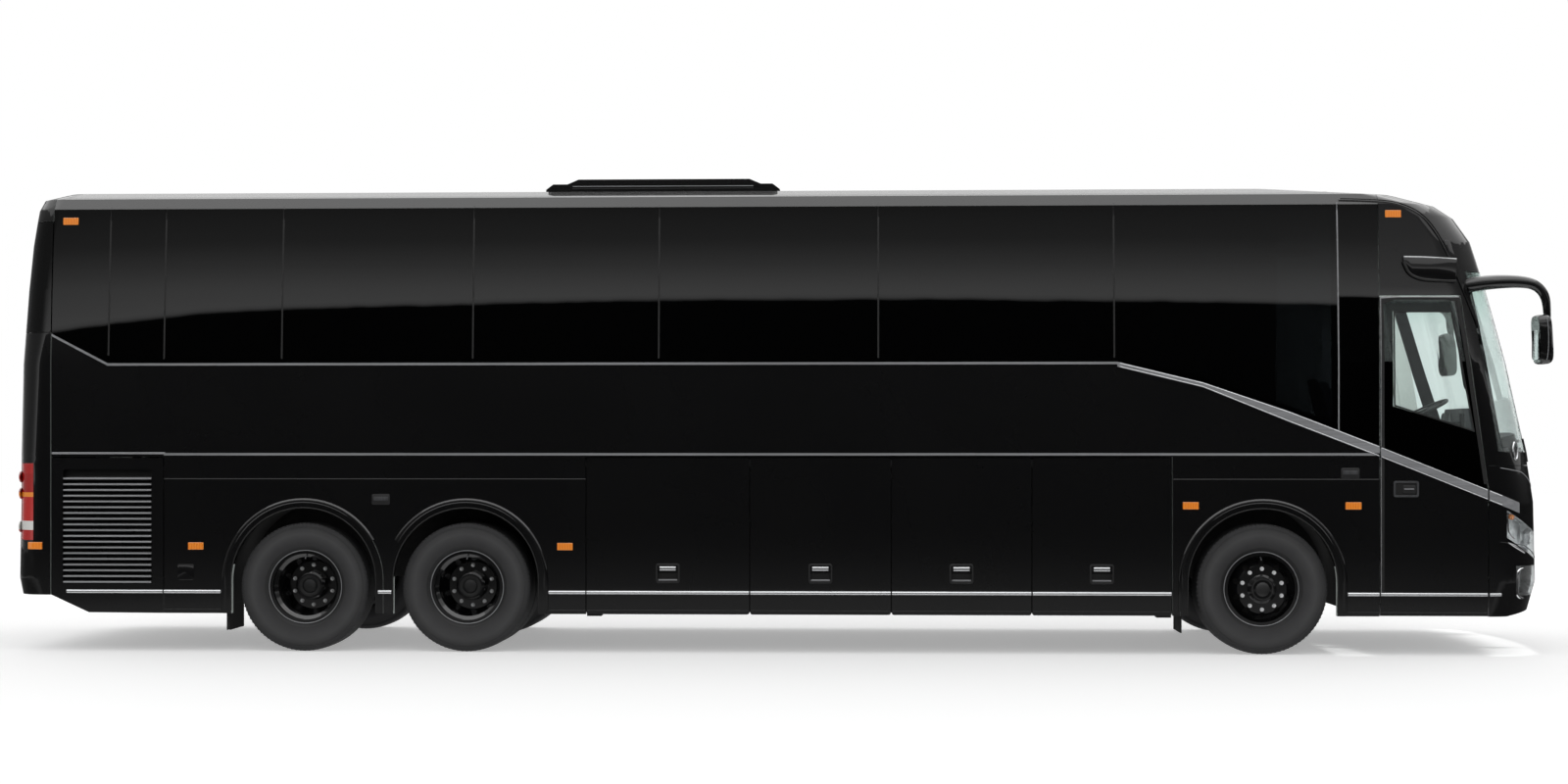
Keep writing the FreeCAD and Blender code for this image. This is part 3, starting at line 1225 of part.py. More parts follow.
inner_dish_path = [(inner_wheel_y + bead_half / 2, disc_root + metal / 4),
                   (twin_y, bolt_radius), (twin_y - metal * 2, bolt_radius - metal),
                   (inner_wheel_y + bead_half / 2 - metal, disc_root)]
hole_count = 10


def ventilated(name, rim, x, y_low, y_high):
    """A rim with a ring of ventilation holes through its disc."""
    hole = rod(name + "_hole", size.hand_hole_radius, (x, y_low, wheel_z + size.hand_hole_circle_radius),
               y_high - y_low, "Y")
    holes = [hole]
    for number in range(1, hole_count):
        angle = 2 * math.pi * number / hole_count
        holes.append(rod(f"{name}_hole_{number}", size.hand_hole_radius,
                         (x + size.hand_hole_circle_radius * math.sin(angle), y_low,
                          wheel_z + size.hand_hole_circle_radius * math.cos(angle)),
                         y_high - y_low, "Y"))
    return cut(name, rim, join(name + "_holes", holes))


front_rim = join("front_rim_blank", [lathe("front_barrel", barrel_path(wheel_y), front_axle_x, 0, wheel_z),
                                     lathe("front_hub", front_hub_path, front_axle_x, 0, wheel_z)])
front_rim = ventilated("front_rim", front_rim, front_axle_x, wheel_y, front_disc_y + metal)
drive_rim = join("drive_rim_blank", [lathe("drive_barrel", barrel_path(wheel_y), drive_axle_x, 0, wheel_z),
                                     lathe("drive_hub", dish_path, drive_axle_x, 0, wheel_z),
                                     lathe("drive_inner_barrel", barrel_path(inner_wheel_y),
                                           drive_axle_x, 0, wheel_z),
                                     lathe("drive_inner_dish", inner_dish_path, drive_axle_x, 0, wheel_z)])
tag_rim = join("tag_rim_blank", [lathe("tag_barrel", barrel_path(wheel_y), tag_axle_x, 0, wheel_z),
                                 lathe("tag_hub", dish_path, tag_axle_x, 0, wheel_z)])
drive_tyres = group("drive_tyres", [lathe("drive_outer_tyre", tyre_path(wheel_y), drive_axle_x, 0, wheel_z),
                                    lathe("drive_inner_tyre", tyre_path(inner_wheel_y),
                                          drive_axle_x, 0, wheel_z)])
front_tyre = lathe("front_tyre", tyre_path(wheel_y), front_axle_x, 0, wheel_z)
tag_tyre = lathe("tag_tyre", tyre_path(wheel_y), tag_axle_x, 0, wheel_z)
for axle_name, rim, tyre in (("front", front_rim, front_tyre), ("drive", drive_rim, drive_tyres),
                             ("tag", tag_rim, tag_tyre)):
    subpart(f"rim_{axle_name}_left", rim)
    subpart(f"tyre_{axle_name}_left", tyre)
    subpart(f"rim_{axle_name}_right", mirrored(f"rim_{axle_name}_mirrored", rim))
    subpart(f"tyre_{axle_name}_right", mirrored(f"tyre_{axle_name}_mirrored", tyre))

# Front axle: a cranked beam with an eye and a kingpin at each end, under two air springs.
kingpin_y = side_y - size.kingpin_inset
beam_half = size.beam_size / 2
crank = size.beam_size * 2
beam_low = wheel_z - beam_half
beam_high = wheel_z + beam_half
beam_path = [(-kingpin_y, beam_low), (crank - kingpin_y, beam_low),
             (crank * 2 - kingpin_y, beam_low - size.beam_drop),
             (kingpin_y - crank * 2, beam_low - size.beam_drop), (kingpin_y - crank, beam_low),
             (kingpin_y, beam_low), (kingpin_y, beam_high), (kingpin_y - crank, beam_high),
             (kingpin_y - crank * 2, beam_high - size.beam_drop),
             (crank * 2 - kingpin_y, beam_high - size.beam_drop), (crank - kingpin_y, beam_high),
             (-kingpin_y, beam_high)]
axle_parts = [pad("front_beam", "YZ", [beam_path], front_axle_x - beam_half, front_axle_x + beam_half)]
for facing, side in SIDES:
    pin_y = kingpin_y if facing == LEFT else -kingpin_y
    spring_y = size.air_spring_spread if facing == LEFT else -size.air_spring_spread
    axle_parts.append(rod(f"eye_{side}", size.eye_radius, (front_axle_x, pin_y, wheel_z - size.eye_height / 2),
                          size.eye_height))
    axle_parts.append(rod(f"kingpin_{side}", size.kingpin_radius,
                          (front_axle_x, pin_y, wheel_z - size.kingpin_length / 2), size.kingpin_length))
    axle_parts.append(rod(f"front_spring_{side}", size.air_spring_radius,
                          (front_axle_x, spring_y, beam_high - size.beam_drop),
                          size.front_rail_height - beam_high + size.beam_drop))
subpart("front_axle", join("front_axle", axle_parts))

# Knuckles: a fork round the kingpin with the wheel spindle on its outer side.
lug_length = (size.kingpin_length - size.eye_height) / 2 - metal
plate_y = kingpin_y + size.eye_radius + size.lamp_gap
plate_end_y = plate_y + size.bulkhead
lug_low = wheel_z + size.eye_height / 2 + size.lamp_gap
lug_high = lug_low + lug_length
lug_parts = []
for number, (low, high) in enumerate(((lug_low, lug_high), (wheel_z * 2 - lug_high, wheel_z * 2 - lug_low))):
    lug_parts.append(rod(f"lug_{number}", size.eye_radius, (front_axle_x, kingpin_y, low), high - low))
    lug_parts.append(block(f"lug_web_{number}", (front_axle_x - beam_half, kingpin_y, low),
                           (front_axle_x + beam_half, plate_end_y, high)))
lug_parts.append(block("knuckle_plate", (front_axle_x - size.eye_radius, plate_y, wheel_z * 2 - lug_high),
                       (front_axle_x + size.eye_radius, plate_end_y, lug_high)))
lug_parts.append(rod("spindle", size.spindle_radius, (front_axle_x, plate_y + metal, wheel_z),
                     spindle_end_y - plate_y - metal, "Y"))
pin_bore = rod("kingpin_bore", size.kingpin_radius + size.running_gap,
               (front_axle_x, kingpin_y, wheel_z - size.kingpin_length), size.kingpin_length * 2)
knuckle = cut("knuckle", join("knuckle_blank", lug_parts), pin_bore)
subpart("knuckle_left", knuckle)
subpart("knuckle_right", mirrored("knuckle_mirrored", knuckle))

# Rear axles: a drive axle with its differential, and a plain tag axle, both under air springs.
tube_end_y = drum_low_y - metal
tube = size.axle_tube_radius
half_middle = size.differential_width / 2
half_section = [(half_middle, size.differential_radius), (half_middle + tube * 2, tube),
                (tube_end_y - metal, tube), (tube_end_y - metal, size.brake_radius - metal),
                (tube_end_y, size.brake_radius - metal), (tube_end_y, size.spindle_radius),
                (drive_spindle_y, size.spindle_radius), (drive_spindle_y, 0)]
drive_path = [(-along, radius) for along, radius in half_section[::-1]] + half_section
tag_path = [(-along, radius) for along, radius in half_section[:1:-1]] + half_section[2:]
for name, path, x in (("drive_axle", drive_path, drive_axle_x), ("tag_axle", tag_path, tag_axle_x)):
    pieces = [lathe(name + "_tube", path, x, 0, wheel_z)]
    for facing, side in SIDES:
        spring_y = size.air_spring_spread if facing == LEFT else -size.air_spring_spread
        pieces.append(rod(f"{name}_spring_{side}", size.air_spring_radius, (x, spring_y, wheel_z),
                          size.rail_height - wheel_z))
    subpart(name, join(name, pieces))

# Engine: one block between the rear rails, behind the lid.
engine_half = size.rail_spread - size.rail_width / 2
subpart("engine", block("engine", (tail_rail_x, -engine_half, size.engine_bottom_height),
                        (tail_rail_x + size.engine_length, engine_half,
                         size.engine_bottom_height + size.engine_height)))

# Seats: double seats either side of the aisle and one for the driver, each on a pedestal.
def seat(name, x, floor, low, high):
    """One seat: pedestal, cushion and a back that leans."""
    cushion = floor + size.seat_height
    base = cushion - size.seat_thickness
    top = floor + size.seat_back_height
    thick = size.seat_thickness
    path = [(x + thick * 2, floor), (x + thick * 2 + size.seat_leg, floor),
            (x + thick * 2 + size.seat_leg, base), (x + size.seat_depth, base),
            (x + size.seat_depth + thick / 3, cushion - thick / 3), (x + size.seat_depth, cushion),
            (x + thick, cushion), (x + thick * 3 / 4 - size.seat_lean, top), (x - size.seat_lean, top),
            (x, base), (x + thick * 2, base)]
    return pad(name, "XZ", [path], low, high)


seat_outer = floor_half - size.seat_wall_gap
seat_parts = []
row_count = int(float(floor_front_x - rear_x - size.row_start) / float(size.row_pitch))
for row in range(row_count):
    x = rear_x + size.row_start + size.row_pitch * row
    seat_parts.append(seat(f"seat_right_{row}", x, size.floor_height, -seat_outer,
                           size.seat_width - seat_outer))
    seat_parts.append(seat(f"seat_left_{row}", x, size.floor_height, seat_outer - size.seat_width,
                           seat_outer))
driver_x = floor_front_x + size.aisle_step_depth
seat_parts.append(seat("driver_seat", driver_x, size.platform_height,
                       size.driver_offset - size.seat_depth / 2, size.driver_offset + size.seat_depth / 2))
subpart("seats", group("seats", seat_parts))

# Steering wheel: a leaning rim, two spokes and a column that ends inside the dashboard.
wheel_rim_x = front_x - size.steering_setback


def leaning(name, item):
    """A copy of an upright piece, leaned and set in front of the driver."""
    piece = group(name + "_leaned", [item])
    for part, text in (("Axis.x", "0"), ("Axis.y", "-1"), ("Axis.z", "0"), ("Angle", size.steering_lean.text)):
        piece.setExpression("Placement.Rotation." + part, text)
    place(piece, wheel_rim_x, size.driver_offset, size.steering_height)
    return piece


half_grip = size.steering_rim_radius / 2
grip_path = [(along, size.steering_wheel_radius + out)
             for along, out in ((-half_grip, size.steering_rim_radius), (half_grip, size.steering_rim_radius),
                                (size.steering_rim_radius, half_grip), (size.steering_rim_radius, -half_grip),
                                (half_grip, -size.steering_rim_radius), (-half_grip, -size.steering_rim_radius),
                                (-size.steering_rim_radius, -half_grip), (-size.steering_rim_radius, half_grip))]
rim_ring = lathe("steering_ring", grip_path)
rim_ring.setExpression("Placement.Rotation.Axis.x", "1")
rim_ring.setExpression("Placement.Rotation.Angle", "90")
spoke = block("steering_spoke", (-size.steering_rim_radius, -size.steering_wheel_radius, -size.rim_metal),
              (size.steering_rim_radius, size.steering_wheel_radius, size.rim_metal))
column = rod("steering_column", size.steering_column_radius, (0, 0, -size.steering_column_length),
             size.steering_column_length)
steering = join("steering_blank", [rim_ring, spoke, column])
subpart("steering_wheel", leaning("steering_wheel", steering))

# Dashboard: a moulded shelf across the front, with a hole for the column.
dash_rear_x = front_x - size.dash_setback
dash_outline = [(dash_rear_x, size.dash_low_height), (far_front_x, size.dash_low_height),
                (far_front_x, size.screen_bottom_height), (dash_rear_x + size.dash_lead * 4, size.dash_height),
                (dash_rear_x, size.dash_height - size.dash_lead)]
binnacle = [(dash_rear_x + size.dash_lead, size.dash_height - size.dash_lead),
            (dash_rear_x + size.binnacle_length, size.dash_height - size.dash_lead),
            (dash_rear_x + size.binnacle_length, size.binnacle_height - size.dash_lead),
            (dash_rear_x + size.binnacle_length - size.dash_lead, size.binnacle_height),
            (dash_rear_x + size.dash_lead * 2, size.binnacle_height)]
column_hole = leaning("column_hole", rod("column_hole_bar", size.steering_column_radius + size.seat_gap,
                                         (0, 0, -size.steering_column_length - size.seat_gap),
                                         size.steering_column_length))
dash_blank = formed("dash_blank", hull_in_wall.common(
    slab(dash_outline, -size.dash_half_width, size.dash_half_width).fuse(
        slab(binnacle, size.driver_offset - size.binnacle_half_width,
             size.driver_offset + size.binnacle_half_width))))
subpart("dashboard", cut("dashboard", dash_blank, column_hole))


# Luggage racks: a long tray over each row of seats, hung from the roof's edge.
rack_end_x = floor_front_x - size.aisle_step_depth
rack_parts = []
for facing, side in SIDES:
    outer = side_y - size.wall
    inner = outer - size.tumblehome - size.rack_depth
    rack_low = size.rack_bottom_height
    metal_z = rack_low - size.rack_metal
    path = [(inner, rack_low), (outer, rack_low), (outer, metal_z), (inner - size.rack_metal, metal_z),
            (inner - size.rack_metal, rack_low + size.rack_metal * 2), (inner, rack_low + size.rack_metal * 2)]
    if facing == RIGHT:
        path = [(-across, up) for across, up in path]
    rack_parts.append(pad(f"rack_{side}", "YZ", [path], rear_seam_x + size.rack_depth, rack_end_x))
document.recompute()
subpart("luggage_racks", formed("luggage_racks", Part.makeCompound(
    [solid for part in rack_parts for solid in part.Shape.common(hull_in_frame).Solids])))

# Roof air unit: two tiers with sloped ends, seated on the roof.
unit_front_x = size.unit_rear_x + size.unit_length
unit_rear = size.unit_rear_x
unit_half = size.unit_half_width
slope = size.unit_slope
base = size.roof_height - size.unit_slope
lower_tier = pad("unit_lower", "XZ", [[
    (unit_rear, base), (unit_front_x, base), (unit_front_x, size.roof_height),
    (unit_front_x - size.unit_base_slope, size.unit_step_height),
    (unit_rear + size.unit_base_slope, size.unit_step_height), (unit_rear, size.roof_height)]],
    -unit_half, unit_half)
upper_half = unit_half - size.unit_base_slope * 2
upper_tier = pad("unit_upper", "XZ", [[
    (unit_rear + slope / 2, size.roof_height), (unit_front_x - slope / 2, size.roof_height),
    (unit_front_x - slope / 2, size.unit_step_height), (unit_front_x - slope, size.unit_top_height),
    (unit_rear + slope, size.unit_top_height), (unit_rear + slope / 2, size.unit_step_height)]],
    -upper_half, upper_half)
unit_blank = join("unit_blank", [lower_tier, upper_tier])
document.recompute()
subpart("roof_air_unit", formed("roof_air_unit", unit_blank.Shape.cut(hull)))

# Mirrors: a bent arm from the front corner, carrying a head in front of the windscreen's corner.
def link(start, finish, radius):
    """A round bar between two points, with a ball at its far end."""
    a = FreeCAD.Vector(*[float(value) for value in start])
    b = FreeCAD.Vector(*[float(value) for value in finish])
    bar = Part.makeCylinder(float(radius), (b - a).Length, a, b - a)
    return bar.fuse(Part.makeSphere(float(radius), b))


mirror_root_x = front_x - size.mirror_root_setback
mirror_x = front_x - size.mirror_front_setback
for facing, side in SIDES:
    path = [(mirror_root_x, facing * float(side_y - size.wall * 2), size.mirror_root_height),
            (mirror_root_x + size.mirror_bend, facing * float(size.mirror_reach), size.mirror_root_height
             + size.mirror_bend / 4),
            (mirror_x - size.mirror_bend / 2, facing * float(size.mirror_reach), size.mirror_root_height),
            (mirror_x, facing * float(size.mirror_reach), size.mirror_root_height - size.mirror_bend),
            (mirror_x, facing * float(size.mirror_reach), size.mirror_head_bottom_height + size.mirror_head_height)]
    arm = link(path[0], path[1], size.mirror_arm_radius)
    for start, finish in zip(path[1:-1], path[2:]):
        arm = arm.fuse(link(start, finish, size.mirror_arm_radius))
    arm = arm.cut(hull)
    arm = max(arm.Solids, key=lambda solid: solid.Volume)
    low = size.mirror_reach - size.mirror_head_width / 2
    high = size.mirror_reach + size.mirror_head_width / 2
    if facing == RIGHT:
        low, high = -high, -low
    head = pad(f"mirror_head_{side}", "XZ", [soft_path(
        mirror_x - size.mirror_head_depth / 2, size.mirror_head_bottom_height,
        mirror_x + size.mirror_head_depth / 2, size.mirror_head_bottom_height + size.mirror_head_height,
        size.mirror_head_depth / 3)], low, high)
    document.recompute()
    subpart(f"mirror_{side}", formed(f"mirror_{side}", arm.fuse(head.Shape)))

# Marker lamps: small amber lamps along each side, high at both ends and low between.
marker_spots = [(size.marker_top_x, size.marker_top_height), (size.marker_rear_x, size.marker_rear_height)]
marker_spots += [(x, size.marker_low_height) for x in (size.marker_bumper_x, size.marker_tail_x, size.marker_middle_x)]
marker_spots += [(x, size.marker_front_height) for x in (size.marker_bay_x, size.marker_arch_x)]


def marker(x, z):
    """The outline of one marker lamp."""
    return slab(box_path(x - size.marker_length / 2, z - size.marker_height / 2,
                         x + size.marker_length / 2, z + size.marker_height / 2))


markers = [strip_layer.common(marker(x, z)) for x, z in marker_spots]
subpart("marker_lamps", formed("marker_lamps", Part.makeCompound(
    [solid for shape in markers for solid in shape.Solids])))

# Side mouldings: slim strips along the belt, the sloping strip, and strips over the doors and at the skirt.
def band(points, height):
    """A strip of even height over a line of points."""
    return points + [(x, z + height) for x, z in points[::-1]]


trim = size.trim_height
belt_line = [(rear_seam_x + half_gap, sill_height(rear_seam_x) - trim), (rear_kink_x, size.belt_height - trim),
             (strip_rear_x, size.belt_height - trim)]
skirt_z = size.skirt_line_height - trim / 2
lip_radius = size.arch_radius + size.arch_lip
trims = []
for facing, side in SIDES:
    end = door_rear_x - half_gap if facing == RIGHT else door_front_x - half_gap
    start = service_door_x + half_gap if facing == RIGHT else rear_seam_x + half_gap
    here = (0, facing * (side_y + size.overrun))
    upper = slab(band(belt_line, trim), *here).fuse(slab(strip_between(strip_rear_x, end), *here))
    pieces = [upper.removeSplitter(), slab(band([(start, bay_door_top + trim), (end, bay_door_top + trim)], trim), *here)]
    for rear, front in ((start, tag_axle_x - lip_radius - trim), (drive_axle_x + lip_radius + trim, bay_start_x - half_gap),
                        (front_axle_x + lip_radius + trim, end)):
        pieces.append(slab(band([(rear, skirt_z), (front, skirt_z)], trim), *here))
    pieces.append(slab(strip_between(door_front_x + half_gap, front_x - size.strip_setback), *here))
    for piece in pieces:
        trims += strip_layer.common(piece).Solids
subpart("side_mouldings", formed("side_mouldings", Part.makeCompound(trims)))

# Wipers: two arms with their blades lying on the windscreen.
def front_slab(points):
    """A prism over an outline of (y, z) points, ahead of the entry door."""
    corners = [FreeCAD.Vector(float(door_front_x), float(y), float(z)) for y, z in points]
    face = Part.Face(Part.makePolygon(corners + corners[:1]))
    return face.extrude(FreeCAD.Vector(float(far_front_x - door_front_x), 0, 0))


wipers = []
for facing, side in SIDES:
    pivot = size.wiper_offset * facing
    foot = cowl_z + size.cowl_height / 4
    knee = size.screen_bottom_height + size.cowl_height
    width = size.wiper_radius * facing
    arm = front_slab([(pivot - width, foot), (pivot + width, foot), (pivot + width, knee), (pivot - width, knee)])
    tip = (size.wiper_offset - size.wiper_span) * facing
    blade = front_slab([(pivot, knee - size.wiper_radius * 2), (pivot, knee),
                        (tip, knee - size.wiper_lift), (tip, knee - size.wiper_lift - size.wiper_radius * 2)])
    wipers += strip_layer.common(arm.fuse(blade)).Solids
subpart("wipers", formed("wipers", Part.makeCompound(wipers)))

document.recompute()
faults = [item.Label for item in document.Objects if "Invalid" in item.State or "Error" in item.State]
faults += [name for name, item in subparts.items() if item.Shape.isNull() or not item.Shape.isValid()]
if faults:
    raise RuntimeError("could not be built: " + ", ".join(faults))
os.makedirs("parts", exist_ok=True)
for name, item in subparts.items():
    item.Shape.exportStep(f"parts/{name}.step")
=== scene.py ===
import math
import json

import bpy
import bmesh
from mathutils import Matrix, Vector
from mathutils.bvhtree import BVHTree

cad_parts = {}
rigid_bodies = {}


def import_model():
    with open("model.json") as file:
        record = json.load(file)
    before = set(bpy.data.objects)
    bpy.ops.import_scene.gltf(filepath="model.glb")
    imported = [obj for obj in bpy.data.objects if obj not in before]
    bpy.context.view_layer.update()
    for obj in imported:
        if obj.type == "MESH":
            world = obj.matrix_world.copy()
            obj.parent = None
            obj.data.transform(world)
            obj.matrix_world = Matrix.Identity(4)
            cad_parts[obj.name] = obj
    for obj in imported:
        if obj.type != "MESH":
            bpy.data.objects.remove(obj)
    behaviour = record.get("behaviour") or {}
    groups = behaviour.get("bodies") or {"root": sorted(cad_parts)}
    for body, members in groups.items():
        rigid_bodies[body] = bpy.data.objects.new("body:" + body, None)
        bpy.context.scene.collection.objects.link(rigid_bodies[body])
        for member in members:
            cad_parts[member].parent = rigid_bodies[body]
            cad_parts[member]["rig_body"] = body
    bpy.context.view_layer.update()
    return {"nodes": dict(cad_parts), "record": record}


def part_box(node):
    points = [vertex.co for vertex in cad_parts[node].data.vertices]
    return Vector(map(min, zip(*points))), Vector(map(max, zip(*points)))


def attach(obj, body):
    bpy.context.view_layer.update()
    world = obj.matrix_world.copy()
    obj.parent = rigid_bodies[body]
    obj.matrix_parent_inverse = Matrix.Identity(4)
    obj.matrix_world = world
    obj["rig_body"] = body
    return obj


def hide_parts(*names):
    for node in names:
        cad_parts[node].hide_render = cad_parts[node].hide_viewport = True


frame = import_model()


# Body panels: welded steel and aluminium sheets over a tube frame, filled, sprayed black and clear
# coated, with a pale moulded lining inside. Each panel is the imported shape, shaded round its bends.
def linear(colour):
    """An sRGB hex colour as the linear values that shaders take."""
    values = [int(colour[i:i + 2], 16) / 255 for i in (1, 3, 5)]
    return [v / 12.92 if v <= 0.04045 else ((v + 0.055) / 1.055) ** 2.4 for v in values] + [1.0]


def node(tree, kind, settings=None, **links):
    """Adds one node, sets its fields and sockets, and links what is given as a socket."""
    made = tree.nodes.new(kind)
    for field, value in (settings or {}).items():
        setattr(made, field, value)
    for name, value in links.items():
        key = int(name[1:]) if name[0] == "i" and name[1:].isdigit() else name.replace("_", " ")
        socket = made.inputs[key]
        if isinstance(value, bpy.types.NodeSocket):
            tree.links.new(value, socket)
        else:
            socket.default_value = value
    return made


def finish_of(name, **values):
    """A new material with its tree and its main shader, whose sockets take the given values."""
    made = bpy.data.materials.new(name)
    made.use_nodes = True
    shader = made.node_tree.nodes["Principled BSDF"]
    for socket, value in values.items():
        shader.inputs[socket.replace("_", " ")].default_value = value
    return made, made.node_tree, shader


def mottled(tree, shader, dark, light, scale, relief=0.0, distance=0.001, detail=4.0, stretch=(1, 1, 1)):
    """Colour that drifts between two tones, with a bump of the same grain, at so many grains a metre."""
    place = node(tree, "ShaderNodeTexCoord").outputs["Object"]
    drawn = node(tree, "ShaderNodeMapping", Vector=place, Scale=stretch)
    grain = node(tree, "ShaderNodeTexNoise", Vector=drawn.outputs["Vector"], Scale=scale, Detail=detail)
    tone = node(tree, "ShaderNodeValToRGB", Fac=grain.outputs["Fac"])
    tone.color_ramp.elements[0].position = 0.35
    tone.color_ramp.elements[0].color = linear(dark)
    tone.color_ramp.elements[1].position = 0.65
    tone.color_ramp.elements[1].color = linear(light)
    tree.links.new(tone.outputs["Color"], shader.inputs["Base Color"])
    if relief:
        bump = node(tree, "ShaderNodeBump", Height=grain.outputs["Fac"], Strength=relief, Distance=distance)
        tree.links.new(bump.outputs["Normal"], shader.inputs["Normal"])


black_paint, tree, shader = finish_of("clear_coated_black_paint", Base_Color=linear("#09090a"),
                                      Coat_Weight=1.0, Coat_Roughness=0.03, Specular_IOR_Level=0.2)
# Sprayed two-pack black under clear coat: deep, with sharp reflections that a faint orange peel bends. The
# peel's 2 mm cells are drawn 7 mm across, and wiping leaves the sheen uneven over most of a metre.
place = node(tree, "ShaderNodeTexCoord").outputs["Object"]
peel = node(tree, "ShaderNodeTexNoise", Vector=place, Scale=140.0, Detail=2.0)
film = node(tree, "ShaderNodeTexNoise", Vector=place, Scale=1.3, Detail=5.0)
grade = node(tree, "ShaderNodeMapRange", Value=film.outputs["Fac"], To_Min=0.22, To_Max=0.32)
tree.links.new(grade.outputs["Result"], shader.inputs["Roughness"])
relief = node(tree, "ShaderNodeBump", Height=peel.outputs["Fac"], Strength=0.02, Distance=0.001)
tree.links.new(relief.outputs["Normal"], shader.inputs["Normal"])
pale_lining, tree, shader = finish_of("moulded_pale_lining", Roughness=0.62)
# Textured plastic, pale grey, with a slight green painted in for the light that comes through the green
# glass:
# soft and even, with no highlight. The 2 mm grain is drawn 6 mm across.
mottled(tree, shader, "#a3aaa6", "#b4bab6", 160.0, 0.15, 0.0006)


def shaded(shell, name, material, angle=32.0):
    """Makes a mesh object of a bmesh, smooth except over sharp edges."""
    for edge in shell.edges:
        edge.smooth = len(edge.link_faces) == 2 and edge.calc_face_angle(0.0) < math.radians(angle)
    for face in shell.faces:
        face.smooth = True
    mesh = bpy.data.meshes.new(name)
    shell.to_mesh(mesh)
    shell.free()
    made = bpy.data.objects.new(name, mesh)
    bpy.context.scene.collection.objects.link(made)
    mesh.materials.append(material)
    return made


def merged(source):
    """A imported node's mesh as a clean bmesh: corners merged, flat faces joined."""
    shell = bmesh.new()
    shell.from_mesh(frame["nodes"][source].data)
    bmesh.ops.remove_doubles(shell, verts=shell.verts, dist=0.00002)
    bmesh.ops.dissolve_limit(shell, angle_limit=math.radians(0.15), verts=shell.verts, edges=shell.edges)
    return shell


def panel_from(source, name, material, angle=32.0, bevel=0.0, lining=None, middle=(0, 0, 0)):
    """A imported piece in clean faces, in place of its node; faces turned to middle get the lining."""
    shell = merged(source)
    if lining:
        for face in shell.faces:
            inward = Vector(middle) - face.calc_center_median()
            inward.x *= 0.2 if source != "front_dome" else 1.0
            face.material_index = 1 if face.normal.dot(inward.normalized()) > 0.25 else 0
    made = shaded(shell, name, material, angle)
    if lining:
        made.data.materials.append(lining)
    if bevel:
        rounding = made.modifiers.new("edge", "BEVEL")
        rounding.width = bevel
        rounding.segments = 2
        rounding.limit_method = "ANGLE"
        rounding.angle_limit = math.radians(40)
    even = made.modifiers.new("weight", "WEIGHTED_NORMAL")
    even.keep_sharp = True
    even.weight = 80
    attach(made, frame["nodes"][source]["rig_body"])
    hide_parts(source)
    return made


for source in ("front_mask", "engine_lid", "roof_air_unit"):
    panel_from(source, "panel_" + source, black_paint)
for source in ("side_wall_right", "side_wall_left", "roof", "rear_panel"):
    panel_from(source, "panel_" + source, black_paint, lining=pale_lining, middle=(0, 0, 2.3))
panel_from("front_dome", "panel_front_dome", black_paint, lining=pale_lining,
           middle=(4.9, 0, 2.2))


# Side glazing and rear window: toughened privacy glass, bonded edge to edge over the posts, so that one dark
# band runs the coach's length.
tinted_glass, tree, shader = finish_of("privacy_glass", Base_Color=linear("#101214"), Roughness=0.0, IOR=1.5,
                                       Transmission_Weight=1.0)
# Float glass tinted all through: nearly black, as it lets hardly any light by. Toughening leaves a slow
# ripple of about 0.6 m that bends its reflections.
roll = node(tree, "ShaderNodeTexNoise", Vector=node(tree, "ShaderNodeTexCoord").outputs["Object"], Scale=1.6)
relief = node(tree, "ShaderNodeBump", Height=roll.outputs["Fac"], Strength=0.02, Distance=0.01)
tree.links.new(relief.outputs["Normal"], shader.inputs["Normal"])
for source in ("side_windows_right", "side_windows_left", "rear_window"):
    panel_from(source, "glazing_" + source, tinted_glass)

# Windscreen, the driver's side window and the entry door's pane: laminated glass, bonded in, through which
# the cab is seen.
clear_glass, tree, shader = finish_of("laminated_green_glass", Roughness=0.0, IOR=1.45,
                                      Transmission_Weight=1.0)
# Iron in the melt gives the pale green, a little stronger towards the shade band on top. It is left flat.
place = node(tree, "ShaderNodeTexCoord").outputs["Object"]
level = node(tree, "ShaderNodeSeparateXYZ", Vector=place)
band = node(tree, "ShaderNodeMapRange", Value=level.outputs["Z"], From_Min=2.7, From_Max=3.1)
tint = node(tree, "ShaderNodeValToRGB", Fac=band.outputs["Result"])
tint.color_ramp.elements[0].color = linear("#e9f2f0")
tint.color_ramp.elements[1].color = linear("#d3e4df")
tree.links.new(tint.outputs["Color"], shader.inputs["Base Color"])
for source in ("windscreen", "entry_door_glass", "driver_window"):
    panel_from(source, "glazing_" + source, clear_glass)

# Mouldings: anodised aluminium strips clipped along the belt, over the doors and at the skirt, with rubber
# lips below. Dark seals behind the luggage doors' seams keep daylight out of the bays.
brushed_strip, tree, shader = finish_of("satin_anodised_strip", Metallic=0.45, Roughness=0.45)
# Brushed along its length, then anodised: satin grey with soft streaks, 17 mm apart where real ones are hair
# fine.
mottled(tree, shader, "#858688", "#96979a", 1.0, stretch=(0.8, 60.0, 60.0))
bright_strip, tree, shader = finish_of("polished_aluminium_strip", Metallic=0.8, Roughness=0.25)
# Polished edge of the same extrusion: it catches the light as a thin white line. Its streaks, 11 mm apart,
# are coarser than real ones too.
mottled(tree, shader, "#c2c3c5", "#d0d1d3", 1.0, stretch=(2.0, 90.0, 90.0))
seal_rubber, tree, shader = finish_of("extruded_seal_rubber", Roughness=0.6)
# Extruded rubber, matt and nearly black: it reads as a dark line. Dust lies in blotches of some 17 mm.
mottled(tree, shader, "#0e0e0e", "#191919", 60.0, 0.1, 0.0005)
panel_from("side_mouldings", "mouldings", brushed_strip)
SIDES = {"right": -1, "left": 1}
joints = {joint["name"]: joint for joint in frame["record"]["behaviour"]["joints"]}
side_y = abs(joints["luggage_door_right_1_lift"]["pos_m"][1])


def place_piece(made, body, slot, *sources):
    """Says which body a piece rides on and the nodes that it replaces. The slot is not used."""
    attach(made, body)
    if sources:
        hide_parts(*sources)
    return made


